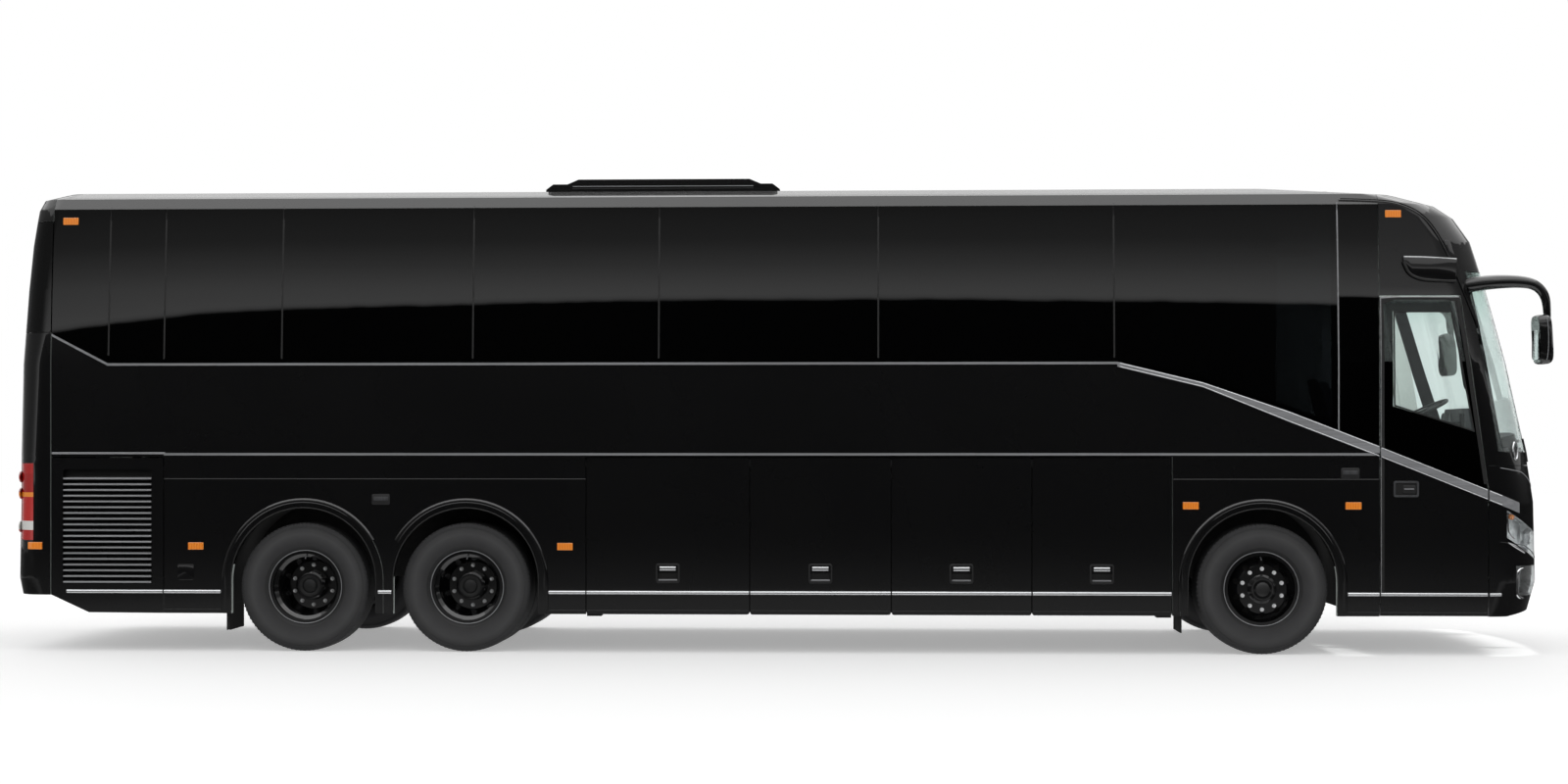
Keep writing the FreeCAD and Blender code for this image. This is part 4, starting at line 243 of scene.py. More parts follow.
def box_outline(low, high, radius=0.0):
    """A rectangle between two corners, with rounded corners if a radius is given."""
    if not radius:
        return [low, (high[0], low[1]), high, (low[0], high[1])]
    points = []
    steps = 4
    for cx, cy, start in ((high[0] - radius, high[1] - radius, 0), (low[0] + radius, high[1] - radius, 90),
                          (low[0] + radius, low[1] + radius, 180), (high[0] - radius, low[1] + radius, 270)):
        for step in range(steps + 1):
            turn = math.radians(start + 90 * step / steps)
            points.append((cx + radius * math.cos(turn), cy + radius * math.sin(turn)))
    return points


def plate(name, outline, near, far, material, body, slot, bevel=0.0015, axis="Y"):
    """An outline extruded between two levels: (x, z) points along Y, or (y, z) points along X."""
    def spot(a, b, level):
        return (a, level, b) if axis == "Y" else (level, a, b)

    shell = bmesh.new()
    face = shell.faces.new([shell.verts.new(spot(a, b, near)) for a, b in outline])
    pulled = bmesh.ops.extrude_face_region(shell, geom=[face])["geom"]
    way = Vector(spot(0, 0, far - near))
    bmesh.ops.translate(shell, verts=[v for v in pulled if isinstance(v, bmesh.types.BMVert)], vec=way)
    bmesh.ops.recalc_face_normals(shell, faces=shell.faces)
    if bevel:
        bmesh.ops.bevel(shell, geom=[e for e in shell.edges if e.calc_face_angle(0) > 0.5], offset=bevel,
                        segments=2, profile=0.5, affect="EDGES", clamp_overlap=True)
    return place_piece(shaded(shell, name, material, 35), body, slot)


def strip_along(name, points, height, proud, side, material, body, slot="silver_trim"):
    """A strip of oval section, half sunk in the flat side, along a line of (x, z) points."""
    shell = bmesh.new()
    ring = bmesh.ops.create_circle(shell, segments=14, radius=1.0)["verts"]
    bmesh.ops.rotate(shell, verts=ring, matrix=Matrix.Rotation(math.radians(90), 3, "Y"))
    bmesh.ops.scale(shell, verts=ring, vec=(1, proud, height / 2))
    bmesh.ops.translate(shell, verts=ring, vec=(points[0][0], side * side_y, points[0][1]))
    first = last = list(shell.edges)
    for before, after in zip(points, points[1:]):
        grown = bmesh.ops.extrude_edge_only(shell, edges=last)["geom"]
        fresh = [item for item in grown if isinstance(item, bmesh.types.BMVert)]
        bmesh.ops.translate(shell, verts=fresh, vec=(after[0] - before[0], 0, after[1] - before[1]))
        last = [edge for edge in shell.edges if edge.verts[0] in fresh and edge.verts[1] in fresh]
    bmesh.ops.edgeloop_fill(shell, edges=first)
    bmesh.ops.edgeloop_fill(shell, edges=last)
    bmesh.ops.recalc_face_normals(shell, faces=shell.faces)
    return place_piece(shaded(shell, name, material, 50), body, slot)


skirt_z, lip_z, seam_z = 0.5, 0.352, 1.44
skirt_size, lip_size = (0.032, 0.0165), (0.008, 0.003)
seal_half, seal_near, seal_far = 0.03, 1.243, 1.233
bays = {n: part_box(n) for n in frame["nodes"] if n.startswith("luggage_door")}
door_rear_x, door_front_x = 4.975, 5.853
strip_width = 0.085
strip_bends = [(2.84, 2.320), (3.54, 2.150), (4.24, 1.911), (door_rear_x, 1.625), (door_front_x, 1.271)]


def strip_low(x):
    """The sloping strip's lower edge at one station."""
    for (rear, high), (front, low) in zip(strip_bends, strip_bends[1:]):
        if x <= front:
            return high - (x - rear) * (high - low) / (front - rear)
    return low - (x - front) * (high - low) / (front - rear)


for side, turn in SIDES.items():
    for number in range(1, 5):
        low, high = bays[f"luggage_door_{side}_{number}"]
        body = f"luggage_door_{side}_{number}"
        run = [(low[0] + 0.002, skirt_z), (high[0] - 0.002, skirt_z)]
        strip_along(f"skirt_strip_{side}_bay_{number}", run, *skirt_size, turn, bright_strip, body)
        strip_along(f"skirt_lip_{side}_bay_{number}", [(low[0] + 0.004, lip_z), (high[0] - 0.004, lip_z)],
                    *lip_size, turn, seal_rubber, body, "black_plastic")
    last_x = bays[f"luggage_door_{side}_4"][1][0]
    first_x = bays[f"luggage_door_{side}_1"][0][0]
    runs = [(-5.078, -4.60), (-1.85, first_x - 0.008), (4.715, 4.969)]
    if side == "left":
        runs = [(-6.03, -4.60), (-1.85, first_x - 0.008), (4.715, 5.848)]
    for number, (start, end) in enumerate(runs):
        strip_along(f"skirt_strip_{side}_{number}", [(start, skirt_z), (end, skirt_z)], *skirt_size, turn,
                    bright_strip, "coach")
        strip_along(f"skirt_lip_{side}_{number}", [(start, lip_z), (end, lip_z)], *lip_size, turn,
                    seal_rubber, "coach", "black_plastic")
    strip_along(f"skirt_strip_{side}_between_arches", [(-3.275, skirt_z), (-3.165, skirt_z)], 0.034, 0.020,
                turn, bright_strip, "coach")
    for number, (start, end) in enumerate(((-5.078, -1.545), (3.292, door_rear_x - 0.006))):
        strip_along(f"panel_line_{side}_{number}", [(start, seam_z), (end, seam_z)], 0.007, 0.003, turn,
                    black_paint, "coach", "black_paint")
    strip_along(f"moulding_{side}_over_service_door", [(-6.028, 1.653), (-5.070, 1.653)], 0.018, 0.010, turn,
                brushed_strip, "coach")
    doors = [bays[f"luggage_door_{side}_{number}"] for number in range(1, 5)]
    between = {(one[1][0] + other[0][0]) / 2 for one, other in zip(doors, doors[1:])}
    for number, seam_x in enumerate(sorted({first_x, last_x} | between)):
        cover = box_outline((seam_x - seal_half, 0.335), (seam_x + seal_half, 1.66))
        plate(f"seam_seal_{side}_{number}", cover, turn * seal_near, turn * seal_far, seal_rubber, "coach",
              "black_plastic", bevel=0.0)
    plate(f"hinge_seal_{side}", box_outline((first_x - 0.02, 1.595), (last_x + 0.02, 1.665)), turn * 1.238,
          turn * 1.228, seal_rubber, "coach", "black_plastic", bevel=0.0)
strip_along("skirt_strip_service_door", [(-5.90, skirt_z), (-5.089, skirt_z)], *skirt_size, -1, bright_strip,
            "service_door")
strip_along("skirt_strip_entry_door", [(4.983, skirt_z), (5.844, skirt_z)], 0.028, 0.0115, -1, bright_strip,
            "door_leaf")
strip_along("skirt_lip_entry_door", [(4.983, lip_z), (5.844, lip_z)], *lip_size, -1, seal_rubber,
            "door_leaf", "black_plastic")
for side, turn in SIDES.items():
    strip_along(f"skirt_strip_{side}_bumper", [(5.862, skirt_z), (5.955, skirt_z + 0.001)], 0.026, 0.0115,
                turn, bright_strip, "coach")

# Sloping strip: an anodised grey field with a polished bead along both edges. It is fixed in separate lengths
# on the wall, the door and the mask, so that the door can move off.
for side, turn in SIDES.items():
    stretches = {"wall": (2.86, 4.966, "coach"), "door": (4.984, 5.844, "door_leaf"),
                 "mask": (5.862, 5.96, "coach")}
    if side == "left":
        stretches["door"] = (4.984, 5.844, "coach")
    for label, (start, end, body) in stretches.items():
        stations = [start] + [x for x, _z in strip_bends if start < x < end] + [end]
        top = [(x, strip_low(x) + strip_width - 0.006) for x in stations]
        foot = [(x, strip_low(x) + (0.051 if x < 3.9 else 0.006)) for x in stations]
        for edge, line in (("upper", top), ("lower", foot)):
            strip_along(f"strip_bead_{side}_{label}_{edge}", line, 0.011, 0.0135, turn, bright_strip, body)
door_field = [(x, strip_low(x) + 0.011) for x in (4.981, 5.846)]
door_field += [(x, strip_low(x) + strip_width - 0.010) for x in (5.846, 4.981)]
plate("entry_door_strip", door_field, -side_y - 0.0112, -side_y - 0.002, brushed_strip, "door_leaf",
      "silver_trim", bevel=0.0)

# Entry door: a painted leaf on two arms, with a bonded pane, a rubber seal and a polished bead round it. Its
# trim follows the leaf's bends, so it is laid on the skin, where a ray from outside finds it.
outer_shell = bmesh.new()
for source in ("side_wall_right", "side_wall_left", "front_dome", "front_mask", "rear_panel", "entry_door",
               "entry_door_glass", "side_windows_right", "side_windows_left", "driver_window", "windscreen",
               "headlamps", "tail_lamps", "rear_window", "engine_lid", "roof"):
    outer_shell.from_mesh(frame["nodes"][source].data)
skin = BVHTree.FromBMesh(outer_shell)
outer_shell.free()


def skin_point(place, way):
    """Where a ray from outside the coach meets its skin, or the skin beside it, over a joint."""
    way = Vector(way)
    for shift in (0.0, -0.012, 0.012, -0.024, 0.024):
        aside = Vector((shift * abs(way.y), shift * abs(way.x), 0))
        found = skin.ray_cast(Vector(place) - way * 9 + aside, way)[0]
        if found is not None and -found.dot(way) > 0.8:
            return found - aside
    return Vector(place)


def along(points, step=0.08, closed=True):
    """The same outline with extra points on its long runs, so that it can follow a bend."""
    dense = []
    for start, end in zip(points, points[1:] + (points[:1] if closed else [])):
        start, end = Vector(start), Vector(end)
        count = max(1, round((end - start).length / step))
        dense += [tuple(start.lerp(end, number / count)) for number in range(count)]
    return dense if closed else dense + [tuple(points[-1])]


def laid(made, way):
    """Moves a flat piece onto the skin: its height over the zero plane becomes height over the skin."""
    way = Vector(way)
    for vertex in made.data.vertices:
        height = -vertex.co.dot(way)
        across = vertex.co + way * height
        vertex.co = skin_point(across, way) - way * height
    return made


grained_plastic, tree, shader = finish_of("grained_black_plastic", Roughness=0.5)
# Injection moulded, with a 1 mm leather grain drawn 2.4 mm across: black gone grey where light grazes it.
mottled(tree, shader, "#141415", "#1d1d1e", 420.0, 0.35, 0.0004)
panel_from("entry_door", "entry_leaf", black_paint, lining=pale_lining,
           middle=(5.4, 0.0, 1.6))
panel_from("entry_door_arms", "entry_arms", grained_plastic)
door_top_x, door_top_z, door_kink_z = 5.632, 2.942, 1.353
leaf_edge = [(door_rear_x + 0.006, 0.50), (door_rear_x + 0.006, door_top_z - 0.006),
             (door_top_x - 0.005, door_top_z - 0.006), (door_front_x - 0.008, door_kink_z + 0.05)]
band_inner = [(leaf_edge[0][0] + 0.030, 0.50), (leaf_edge[1][0] + 0.030, leaf_edge[1][1] - 0.024),
              (leaf_edge[2][0] - 0.030, leaf_edge[2][1] - 0.024), (leaf_edge[3][0] - 0.030, leaf_edge[3][1])]


def ribbon(name, outer, inner, low, high, way, material, body, slot, step=0.12):
    """A thin band laid on the skin between two open lines of (x, z) points, or (y, z) at the coach's ends."""
    shell = bmesh.new()
    way = Vector(way)
    outer = along(outer, step, closed=False)
    steps = len(outer)
    spans = [0.0]
    for start, end in zip(inner, inner[1:]):
        spans.append(spans[-1] + (Vector(end) - Vector(start)).length)
    matched = []
    lengths = [0.0]
    for start, end in zip(outer, outer[1:]):
        lengths.append(lengths[-1] + (Vector(end) - Vector(start)).length)
    for reach in lengths:
        goal = spans[-1] * reach / lengths[-1]
        number = max(i for i, reached in enumerate(spans[:-1]) if reached <= goal + 1e-9)
        share = (goal - spans[number]) / (spans[number + 1] - spans[number])
        matched.append(tuple(Vector(inner[number]).lerp(Vector(inner[number + 1]), share)))
    rows = [[shell.verts.new(Vector((0, across, z) if way.x else (across, 0, z)) - way * level)
             for across, z in line]
            for line, level in ((outer, low), (outer, high), (matched, high), (matched, low))]
    for row, following in zip(rows, rows[1:] + rows[:1]):
        for number in range(steps - 1):
            shell.faces.new((row[number], row[number + 1], following[number + 1], following[number]))
    shell.faces.new([row[0] for row in rows])
    shell.faces.new([row[-1] for row in rows])
    bmesh.ops.recalc_face_normals(shell, faces=shell.faces)
    return laid(place_piece(shaded(shell, name, material, 35), body, slot), way)


right_way, left_way = (0, 1, 0), (0, -1, 0)
ribbon("entry_door_surround", leaf_edge, band_inner, -0.003, 0.002, right_way, seal_rubber, "door_leaf",
       "black_plastic")
bead_outer = [(x + 0.001, z) for x, z in leaf_edge[:3]]
bead_inner = [(bead_outer[0][0] + 0.006, 0.50), (bead_outer[1][0] + 0.006, bead_outer[1][1] - 0.007),
              (bead_outer[2][0] - 0.006, bead_outer[2][1] - 0.007)]
ribbon("entry_door_bead", bead_outer, bead_inner, -0.003, 0.0045, right_way, bright_strip, "door_leaf",
       "silver_trim")
sight = [(5.087, 2.040), (5.741, 1.830), (5.563, 2.818), (5.087, 2.818)]
inset = ((0.012, 0.010), (-0.014, 0.014), (-0.012, -0.012), (0.012, -0.012))
sight_seal = [(x + dx, z + dz) for (x, z), (dx, dz) in zip(sight, inset)]
sight = along(sight, 0.3)


def frame_plate(name, outer, inner, near, far, material, body, slot, bevel=0.001):
    """A flat ring along Y between two (x, z) outlines of the same number of points, with thickness."""
    shell = bmesh.new()
    rings = [[shell.verts.new((a, level, b)) for a, b in line]
             for line, level in ((outer, near), (outer, far), (inner, far), (inner, near))]
    count = len(outer)
    for ring, following in zip(rings, rings[1:] + rings[:1]):
        for number in range(count):
            after = (number + 1) % count
            shell.faces.new((ring[number], ring[after], following[after], following[number]))
    bmesh.ops.recalc_face_normals(shell, faces=shell.faces)
    if bevel:
        bmesh.ops.bevel(shell, geom=[e for e in shell.edges if e.calc_face_angle(0) > 0.6], offset=bevel,
                        segments=1, profile=0.5, affect="EDGES", clamp_overlap=True)
    return place_piece(shaded(shell, name, material, 35), body, slot)


sight_seal = along(sight_seal, 0.3)[:len(sight)]
laid(frame_plate("entry_sight_seal", sight, sight_seal, 0.0005, -0.004, seal_rubber, "door_leaf",
                 "black_plastic", bevel=0.0), right_way)

# Pane edges: black sealant fills the gaps between the bonded side panes, and an anodised bar closes the
# glazing's front end. Both are thin runs laid on the glass.
pane_posts = (-5.551, -5.080, -4.088, -2.486, -0.937, 0.879, 2.816)
pane_head, gap_half = 3.715, 0.007
for side, turn in SIDES.items():
    way = (0, -turn, 0)
    for number, x in enumerate(pane_posts):
        foot = 2.44 if x > -5.5 else 2.47
        ribbon(f"pane_seal_{side}_{number}", [(x - gap_half, foot), (x - gap_half, pane_head)],
               [(x + gap_half, foot), (x + gap_half, pane_head)], -0.003, 0.0006, way, seal_rubber, "coach",
               "black_plastic")
    foot = strip_low(4.642) + strip_width + 0.002
    ribbon(f"glazing_end_bar_{side}", [(4.636, foot), (4.636, pane_head)],
           [(4.647, foot), (4.647, pane_head)], -0.003, 0.003, way, brushed_strip, "coach", "silver_trim")

# Entry door's handle: a metal frame let into the leaf, with a nearly black plate of painted shade for its
# cup, a grained paddle and a bright bar on the paddle. Inside, a plastic-covered grab rail is bolted to the
# leaf.
handle_metal, tree, shader = finish_of("brushed_handle_metal", Roughness=0.35, Metallic=0.3)
# Brushed upright and anodised: dark grey with streaks 4 mm apart, coarser than real ones.
mottled(tree, shader, "#3a3b3d", "#4c4d4f", 1.0, stretch=(240.0, 240.0, 1.5))
recess_painted_shade, tree, shader = finish_of("recess_painted_shade", Roughness=0.7)
# Painted shade: a dull, nearly black finish for the hollows behind paddles, louvres and slats, where light
# hardly gets in. Its dust lies in faint patches some 12 mm across.
mottled(tree, shader, "#040404", "#090909", 80.0)
handle_low, handle_high, handle_rim = (5.085, 1.296), (5.290, 1.428), 0.016
handle_mouth = box_outline((handle_low[0] + handle_rim, handle_low[1] + handle_rim),
                           (handle_high[0] - handle_rim, handle_high[1] - handle_rim), 0.008)
frame_plate("entry_handle_frame", box_outline(handle_low, handle_high, 0.018), handle_mouth, -side_y - 0.006,
            -side_y + 0.001, handle_metal, "door_leaf", "silver_trim", bevel=0.0015)
# The cup is a flat, nearly black plate of painted shade.
plate("entry_handle_cup", box_outline((handle_low[0] + 0.010, handle_low[1] + 0.010),
                                      (handle_high[0] - 0.010, handle_high[1] - 0.010), 0.010),
      -side_y - 0.0012, -side_y + 0.0008, recess_painted_shade, "door_leaf", "black_plastic", bevel=0.0)
plate("entry_handle_paddle", box_outline((handle_low[0] + 0.075, handle_low[1] + 0.030),
                                         (handle_high[0] - 0.026, handle_high[1] - 0.034), 0.010),
      -side_y - 0.0055, -side_y - 0.001, grained_plastic, "door_leaf", "black_plastic", bevel=0.002)
plate("entry_handle_bar", box_outline((handle_low[0] + 0.085, handle_low[1] + 0.062),
                                      (handle_high[0] - 0.040, handle_low[1] + 0.070), 0.002),
      -side_y - 0.008, -side_y - 0.005, brushed_strip, "door_leaf", "silver_trim", bevel=0.0008)


def tube(name, points, radius, material, body, slot, order=3, taper=None, sides=3):
    """A smooth round bar along a line of points, tapering through the given shares of its radius."""
    data = bpy.data.curves.new(name, "CURVE")
    data.dimensions = "3D"
    data.bevel_depth = radius
    data.bevel_resolution = sides
    data.use_fill_caps = True
    line = data.splines.new("NURBS" if order > 2 else "POLY")
    line.points.add(len(points) - 1)
    for number, point in enumerate(points):
        line.points[number].co = (*point, 1.0)
        line.points[number].radius = taper[number] if taper else 1.0
    if order > 2:
        line.order_u = order
        line.use_endpoint_u = True
        line.resolution_u = 8
    drawn = bpy.data.objects.new(name + "_line", data)
    bpy.context.scene.collection.objects.link(drawn)
    mesh = bpy.data.meshes.new_from_object(drawn)
    bpy.data.objects.remove(drawn)
    made = bpy.data.objects.new(name, mesh)
    bpy.context.scene.collection.objects.link(made)
    mesh.materials.clear()
    mesh.materials.append(material)
    mesh.shade_smooth()
    return place_piece(made, body, slot)


rail_points = [(5.665, -1.235, 2.56), (5.650, -1.185, 2.56), (5.655, -1.180, 2.46), (5.690, -1.180, 2.22),
               (5.702, -1.185, 2.18), (5.712, -1.235, 2.17)]
tube("entry_grab_rail", rail_points, 0.013, grained_plastic, "door_leaf", "black_plastic")

# Luggage doors and the louvred service door: folded aluminium skins, hinged along their top edges. A luggage
# door has a plastic frame round a cup, which is a nearly black plate of painted shade, with a bright lift-up
# paddle and a sill. Behind the service door's louvres lies a nearly black screen of painted shade, and bright
# strips along the louvres' edges are painted highlights.
for source in frame["nodes"]:
    if source.startswith("luggage_door"):
        panel_from(source, "skin_" + source, black_paint)
panel_from("service_door", "service_skin", black_paint, 20)
for side, turn in SIDES.items():
    for number in range(1, 5):
        name = f"luggage_door_{side}_{number}"
        low, high = bays[name]
        middle = (low[0] + high[0]) / 2
        frame_plate(f"bay_handle_frame_{side}_{number}",
                    box_outline((middle - 0.099, 0.579), (middle + 0.099, 0.741), 0.022),
                    box_outline((middle - 0.084, 0.598), (middle + 0.084, 0.726), 0.012),
                    turn * (side_y + 0.004), turn * (side_y - 0.002), grained_plastic, name, "black_plastic",
                    bevel=0.002)
        strip_along(f"bay_paddle_{side}_{number}", [(middle - 0.066, 0.700), (middle + 0.066, 0.700)], 0.032,
                    0.006, turn, bright_strip, name)
        # The cup is a nearly black plate of painted shade, set in behind the frame's mouth.
        cup = box_outline((middle - 0.087, 0.600), (middle + 0.087, 0.660), 0.008)
        plate(f"bay_cup_{side}_{number}", cup, turn * (side_y - 0.020), turn * (side_y - 0.0275), recess_painted_shade,
              name, "black_plastic", bevel=0.0)
        sill = box_outline((middle - 0.078, 0.599), (middle + 0.078, 0.611), 0.003)
        plate(f"bay_sill_{side}_{number}", sill, turn * (side_y - 0.002), turn * (side_y - 0.020),
              brushed_strip, name, "silver_trim", bevel=0.002)
louvre_low, louvre_pitch, louvre_x = 0.565, 0.048, (-5.935, -5.185)
# Bright strips along the louvres' edges are painted highlights, and the screen behind them is painted shade.
for number in range(19):
    level = louvre_low + louvre_pitch * number + 0.012
    strip_along(f"louvre_highlight_strip_{number}", [(louvre_x[0] + 0.004, level), (louvre_x[1] - 0.004, level)], 0.013,
                0.0045, -1, brushed_strip, "service_door")
plate("louvre_painted_shade", box_outline((louvre_x[0] - 0.02, 0.55), (louvre_x[1] + 0.02, 1.53)), -1.2495, -1.2465,
      recess_painted_shade, "service_door", "black_plastic", bevel=0.0)

# Small hatches, latches and wheel arch edges on the fixed panels: painted flaps with a rubber lip, plastic
# latch plates with a metal paddle, and a rolled edge with a rubber lip round each arch.
for side, turn in SIDES.items():
    hatch_low, hatch_high = (-4.965, 0.590), (-4.825, 0.728)
    plate(f"small_hatch_{side}", box_outline(hatch_low, hatch_high, 0.010), turn * (side_y + 0.0025),
          turn * (side_y - 0.002), black_paint, "coach", "black_paint", bevel=0.001)
    lip = box_outline((hatch_low[0] + 0.01, hatch_low[1] + 0.004),
                      (hatch_high[0] - 0.01, hatch_low[1] + 0.012), 0.002)
    plate(f"small_hatch_lip_{side}", lip, turn * (side_y + 0.004), turn * (side_y + 0.002), seal_rubber,
          "coach", "black_plastic", bevel=0.0008)
    for label, x, z in (("rear", -3.255, 1.270), ("front", 4.735, 1.490)):
        latch = box_outline((x - 0.075, z - 0.045), (x + 0.075, z + 0.045), 0.014)
        plate(f"latch_{side}_{label}", latch, turn * (side_y + 0.003), turn * (side_y - 0.002),
              grained_plastic, "coach", "black_plastic", bevel=0.001)
        paddle = box_outline((x - 0.060, z - 0.010), (x + 0.060, z + 0.022), 0.006)
        plate(f"latch_paddle_{side}_{label}", paddle, turn * (side_y + 0.007), turn * (side_y + 0.002),
              handle_metal, "coach", "silver_trim", bevel=0.0015)
axle_x = {"front": 4.025, "drive": -2.545, "tag": -3.905}
arch_z, bead_radius, lip_radius = 0.592, 0.667, 0.609
for side, turn in SIDES.items():
    for label, x in axle_x.items():
        points = [(x - bead_radius, 0.36), (x - bead_radius, 0.50)]
        points += [(x - bead_radius * math.cos(a), arch_z + bead_radius * math.sin(a))
                   for a in (math.radians(5 * step) for step in range(37))]
        points += [(x + bead_radius, 0.50), (x + bead_radius, 0.36)]
        if label == "tag":
            points = [p for p in points if p[0] < x + 0.60]
        if label == "drive":
            points = [p for p in points if p[0] > x - 0.60]
        bead = [(px, turn * (side_y - 0.008), pz) for px, pz in points]
        tube(f"arch_bead_{side}_{label}", bead, 0.024, black_paint, "coach", "black_paint", order=2)
        across = turn * (side_y + 0.004)
        lip = [(x - lip_radius * math.cos(a), across, arch_z + lip_radius * math.sin(a))
               for a in (math.radians(6 * step) for step in range(31))]
        lip = [(x - lip_radius, across, 0.345)] + lip + [(x + lip_radius, across, 0.345)]
        tube(f"arch_rubber_{side}_{label}", lip, 0.006, seal_rubber, "coach", "black_plastic", order=2)

# Wheel housings, mud flaps and everything under the floor: coated sheet steel, a welded and primed
# underframe, cast axles and engine, and rubber flaps hung behind the front and tag wheels.
bitumen, tree, shader = finish_of("bitumen_coated_steel", Roughness=0.85)
# Bitumen sprayed on thick: dull black with soft lumps and road dust. The lumps are drawn 45 mm across, far
# coarser than real ones, so that they show from outside.
mottled(tree, shader, "#0b0b0c", "#171615", 22.0, 0.4, 0.002)
chassis_black, tree, shader = finish_of("primed_chassis_steel", Roughness=0.55)
# Brushed-on chassis primer: a dull black sheen, clouded by road film in patches of some 55 mm.
mottled(tree, shader, "#101112", "#1b1b1b", 18.0, 0.15, 0.001)
cast_grey, tree, shader = finish_of("cast_axle_iron", Roughness=0.7, Metallic=0.4)
# Sand-cast iron, oily and lightly rusted: dark and rough. Its pits are drawn 18 mm across, coarser than real.
mottled(tree, shader, "#1d1d1e", "#2c2a28", 55.0, 0.5, 0.0015)
ground_steel, tree, shader = finish_of("machined_steel", Roughness=0.4, Metallic=0.4)
# Turned on a lathe: a clean grey with fine rings about the axle, drawn 3 mm apart.
mottled(tree, shader, "#77787a", "#8d8e90", 1.0, stretch=(4.0, 300.0, 4.0))
under_floor = {"wheel_housings": bitumen, "underframe": chassis_black, "front_axle": cast_grey,
               "drive_axle": cast_grey, "tag_axle": cast_grey, "knuckle_left": cast_grey,
               "knuckle_right": cast_grey, "engine": cast_grey}
for source, material in under_floor.items():
    panel_from(source, "finished_" + source, material, bevel=0.002)
mud_rubber, tree, shader = finish_of("mud_flap_rubber", Roughness=0.8)
# Sheet rubber, hung loose: matt and dark, greyed by dried splashes some 33 mm across.
mottled(tree, shader, "#131313", "#202020", 30.0, 0.3, 0.001)
for side, turn in SIDES.items():
    for label in ("tag", "front"):
        x = axle_x[label] - 0.640
        low_y, high_y = sorted((turn * 0.93, turn * 1.245))
        plate(f"mud_flap_{side}_{label}", [(low_y, 0.175), (high_y, 0.175), (high_y, 0.36), (low_y, 0.36)],
              x - 0.022, x - 0.012, mud_rubber, "coach", "black_plastic", bevel=0.002, axis="X")

# Wheels: pressed steel discs, painted gloss black, under tubeless rubber tyres, twin on the drive axle.
# Plated nuts clamp each disc to its hub, a cap closes the hub, and a brake drum lies behind each front disc.
tyre_rubber, tree, shader = finish_of("moulded_tyre_rubber", Roughness=0.72)
# Carbon-black rubber: matt, in rings about the axle, lighter across the middle of the side wall and darker
# towards the bead and the shoulder. Scuffs and dust lie over it in patches of some 0.1 m.
mottled(tree, shader, "#1e1e1f", "#2c2c2d", 9.0, 0.12, 0.002, detail=6.0)
reach = node(tree, "ShaderNodeAttribute", {"attribute_name": "reach"})
share = node(tree, "ShaderNodeMapRange", Value=reach.outputs["Fac"], From_Min=0.28, From_Max=0.54)
tone = node(tree, "ShaderNodeValToRGB", Fac=share.outputs["Result"])
for number, (position, colour) in enumerate(((0.0, "#161617"), (0.22, "#202021"), (0.34, "#28282a"),
                                             (0.62, "#3c3c3d"), (0.78, "#2e2e2f"), (0.90, "#242426"),
                                             (1.0, "#202021"))):
    stop = tone.color_ramp.elements[number] if number < 2 else tone.color_ramp.elements.new(position)
    stop.position = position
    stop.color = linear(colour)
scuffs = shader.inputs["Base Color"].links[0].from_socket
blend = node(tree, "ShaderNodeMix", {"data_type": "RGBA"}, i0=0.72, i6=scuffs, i7=tone.outputs["Color"])
tree.links.new(blend.outputs[2], shader.inputs["Base Color"])
nut_zinc, tree, shader = finish_of("zinc_plated_nut", Metallic=0.25, Roughness=0.3)
# Bright zinc plating: pale, so that the nuts stand out from the black disc.
mottled(tree, shader, "#d4d5d6", "#e6e7e8", 60.0)
wheel_joints = {name: joint for name, joint in joints.items() if name.startswith("spin")}


def settle(shell, name, centre, side, material, body, slot, angle=35):
    """Turns a piece made for the left side to its own side, moves it to its wheel and finishes it."""
    bmesh.ops.scale(shell, verts=shell.verts, vec=(1, side, 1))
    bmesh.ops.translate(shell, verts=shell.verts, vec=centre)
    bmesh.ops.recalc_face_normals(shell, faces=shell.faces)
    made = place_piece(shaded(shell, name, material, angle), body, slot)
    if material == tyre_rubber:
        field = made.data.attributes.new("reach", "FLOAT", "POINT")
        for number, vertex in enumerate(made.data.vertices):
            field.data[number].value = math.hypot(vertex.co.x - centre[0], vertex.co.z - centre[2])
    return made


def spun(profile, steps, axis):
    """A line of (along the axis, radius) points spun into a round form about X or Y."""
    shell = bmesh.new()
    verts = [shell.verts.new((axis[0] * out, axis[1] * out, radius)) for out, radius in profile]
    edges = [shell.edges.new(pair) for pair in zip(verts, verts[1:])]
    bmesh.ops.spin(shell, geom=verts + edges, cent=(0, 0, 0), axis=axis, angle=math.tau, steps=steps,
                   use_merge=True)
    bmesh.ops.remove_doubles(shell, verts=shell.verts, dist=0.00001)
    return shell


def turned(name, profile, steps, centre, side, material, body, slot, angle=35):
    """Spins a line of (outward, radius) points about a wheel's axle."""
    return settle(spun(profile, steps, (0, 1, 0)), name, centre, side, material, body, slot, angle)


def tyre_profile(middle):
    """Half section lines of a tyre, with four grooves, a shoulder step and side wall rings."""
    half, radius = 0.1575, 0.538
    right = [(0.1085, 0.2865), (0.1085, 0.306), (0.119, 0.317), (0.134, 0.335), (0.1375, 0.337),
             (0.1385, 0.341), (0.149, 0.375), (0.1545, 0.405), (half, 0.428), (half, 0.440), (0.1555, 0.470),
             (0.1525, 0.488), (0.1495, 0.4885), (0.1485, 0.4925), (0.1495, 0.4965), (0.1470, 0.516),
             (0.1400, 0.5285), (0.128, 0.5345)]
    tread = []
    for groove in (0.085, 0.030, -0.030, -0.085):
        tread += [(groove + 0.007, radius - abs(groove) * 0.02), (groove + 0.0045, radius - 0.014),
                  (groove - 0.0045, radius - 0.014), (groove - 0.007, radius - abs(groove) * 0.02)]
    left = [(-out, r) for out, r in right[::-1]]
    line = right + tread + left
    return [(middle + out, r) for out, r in line + line[:1]]


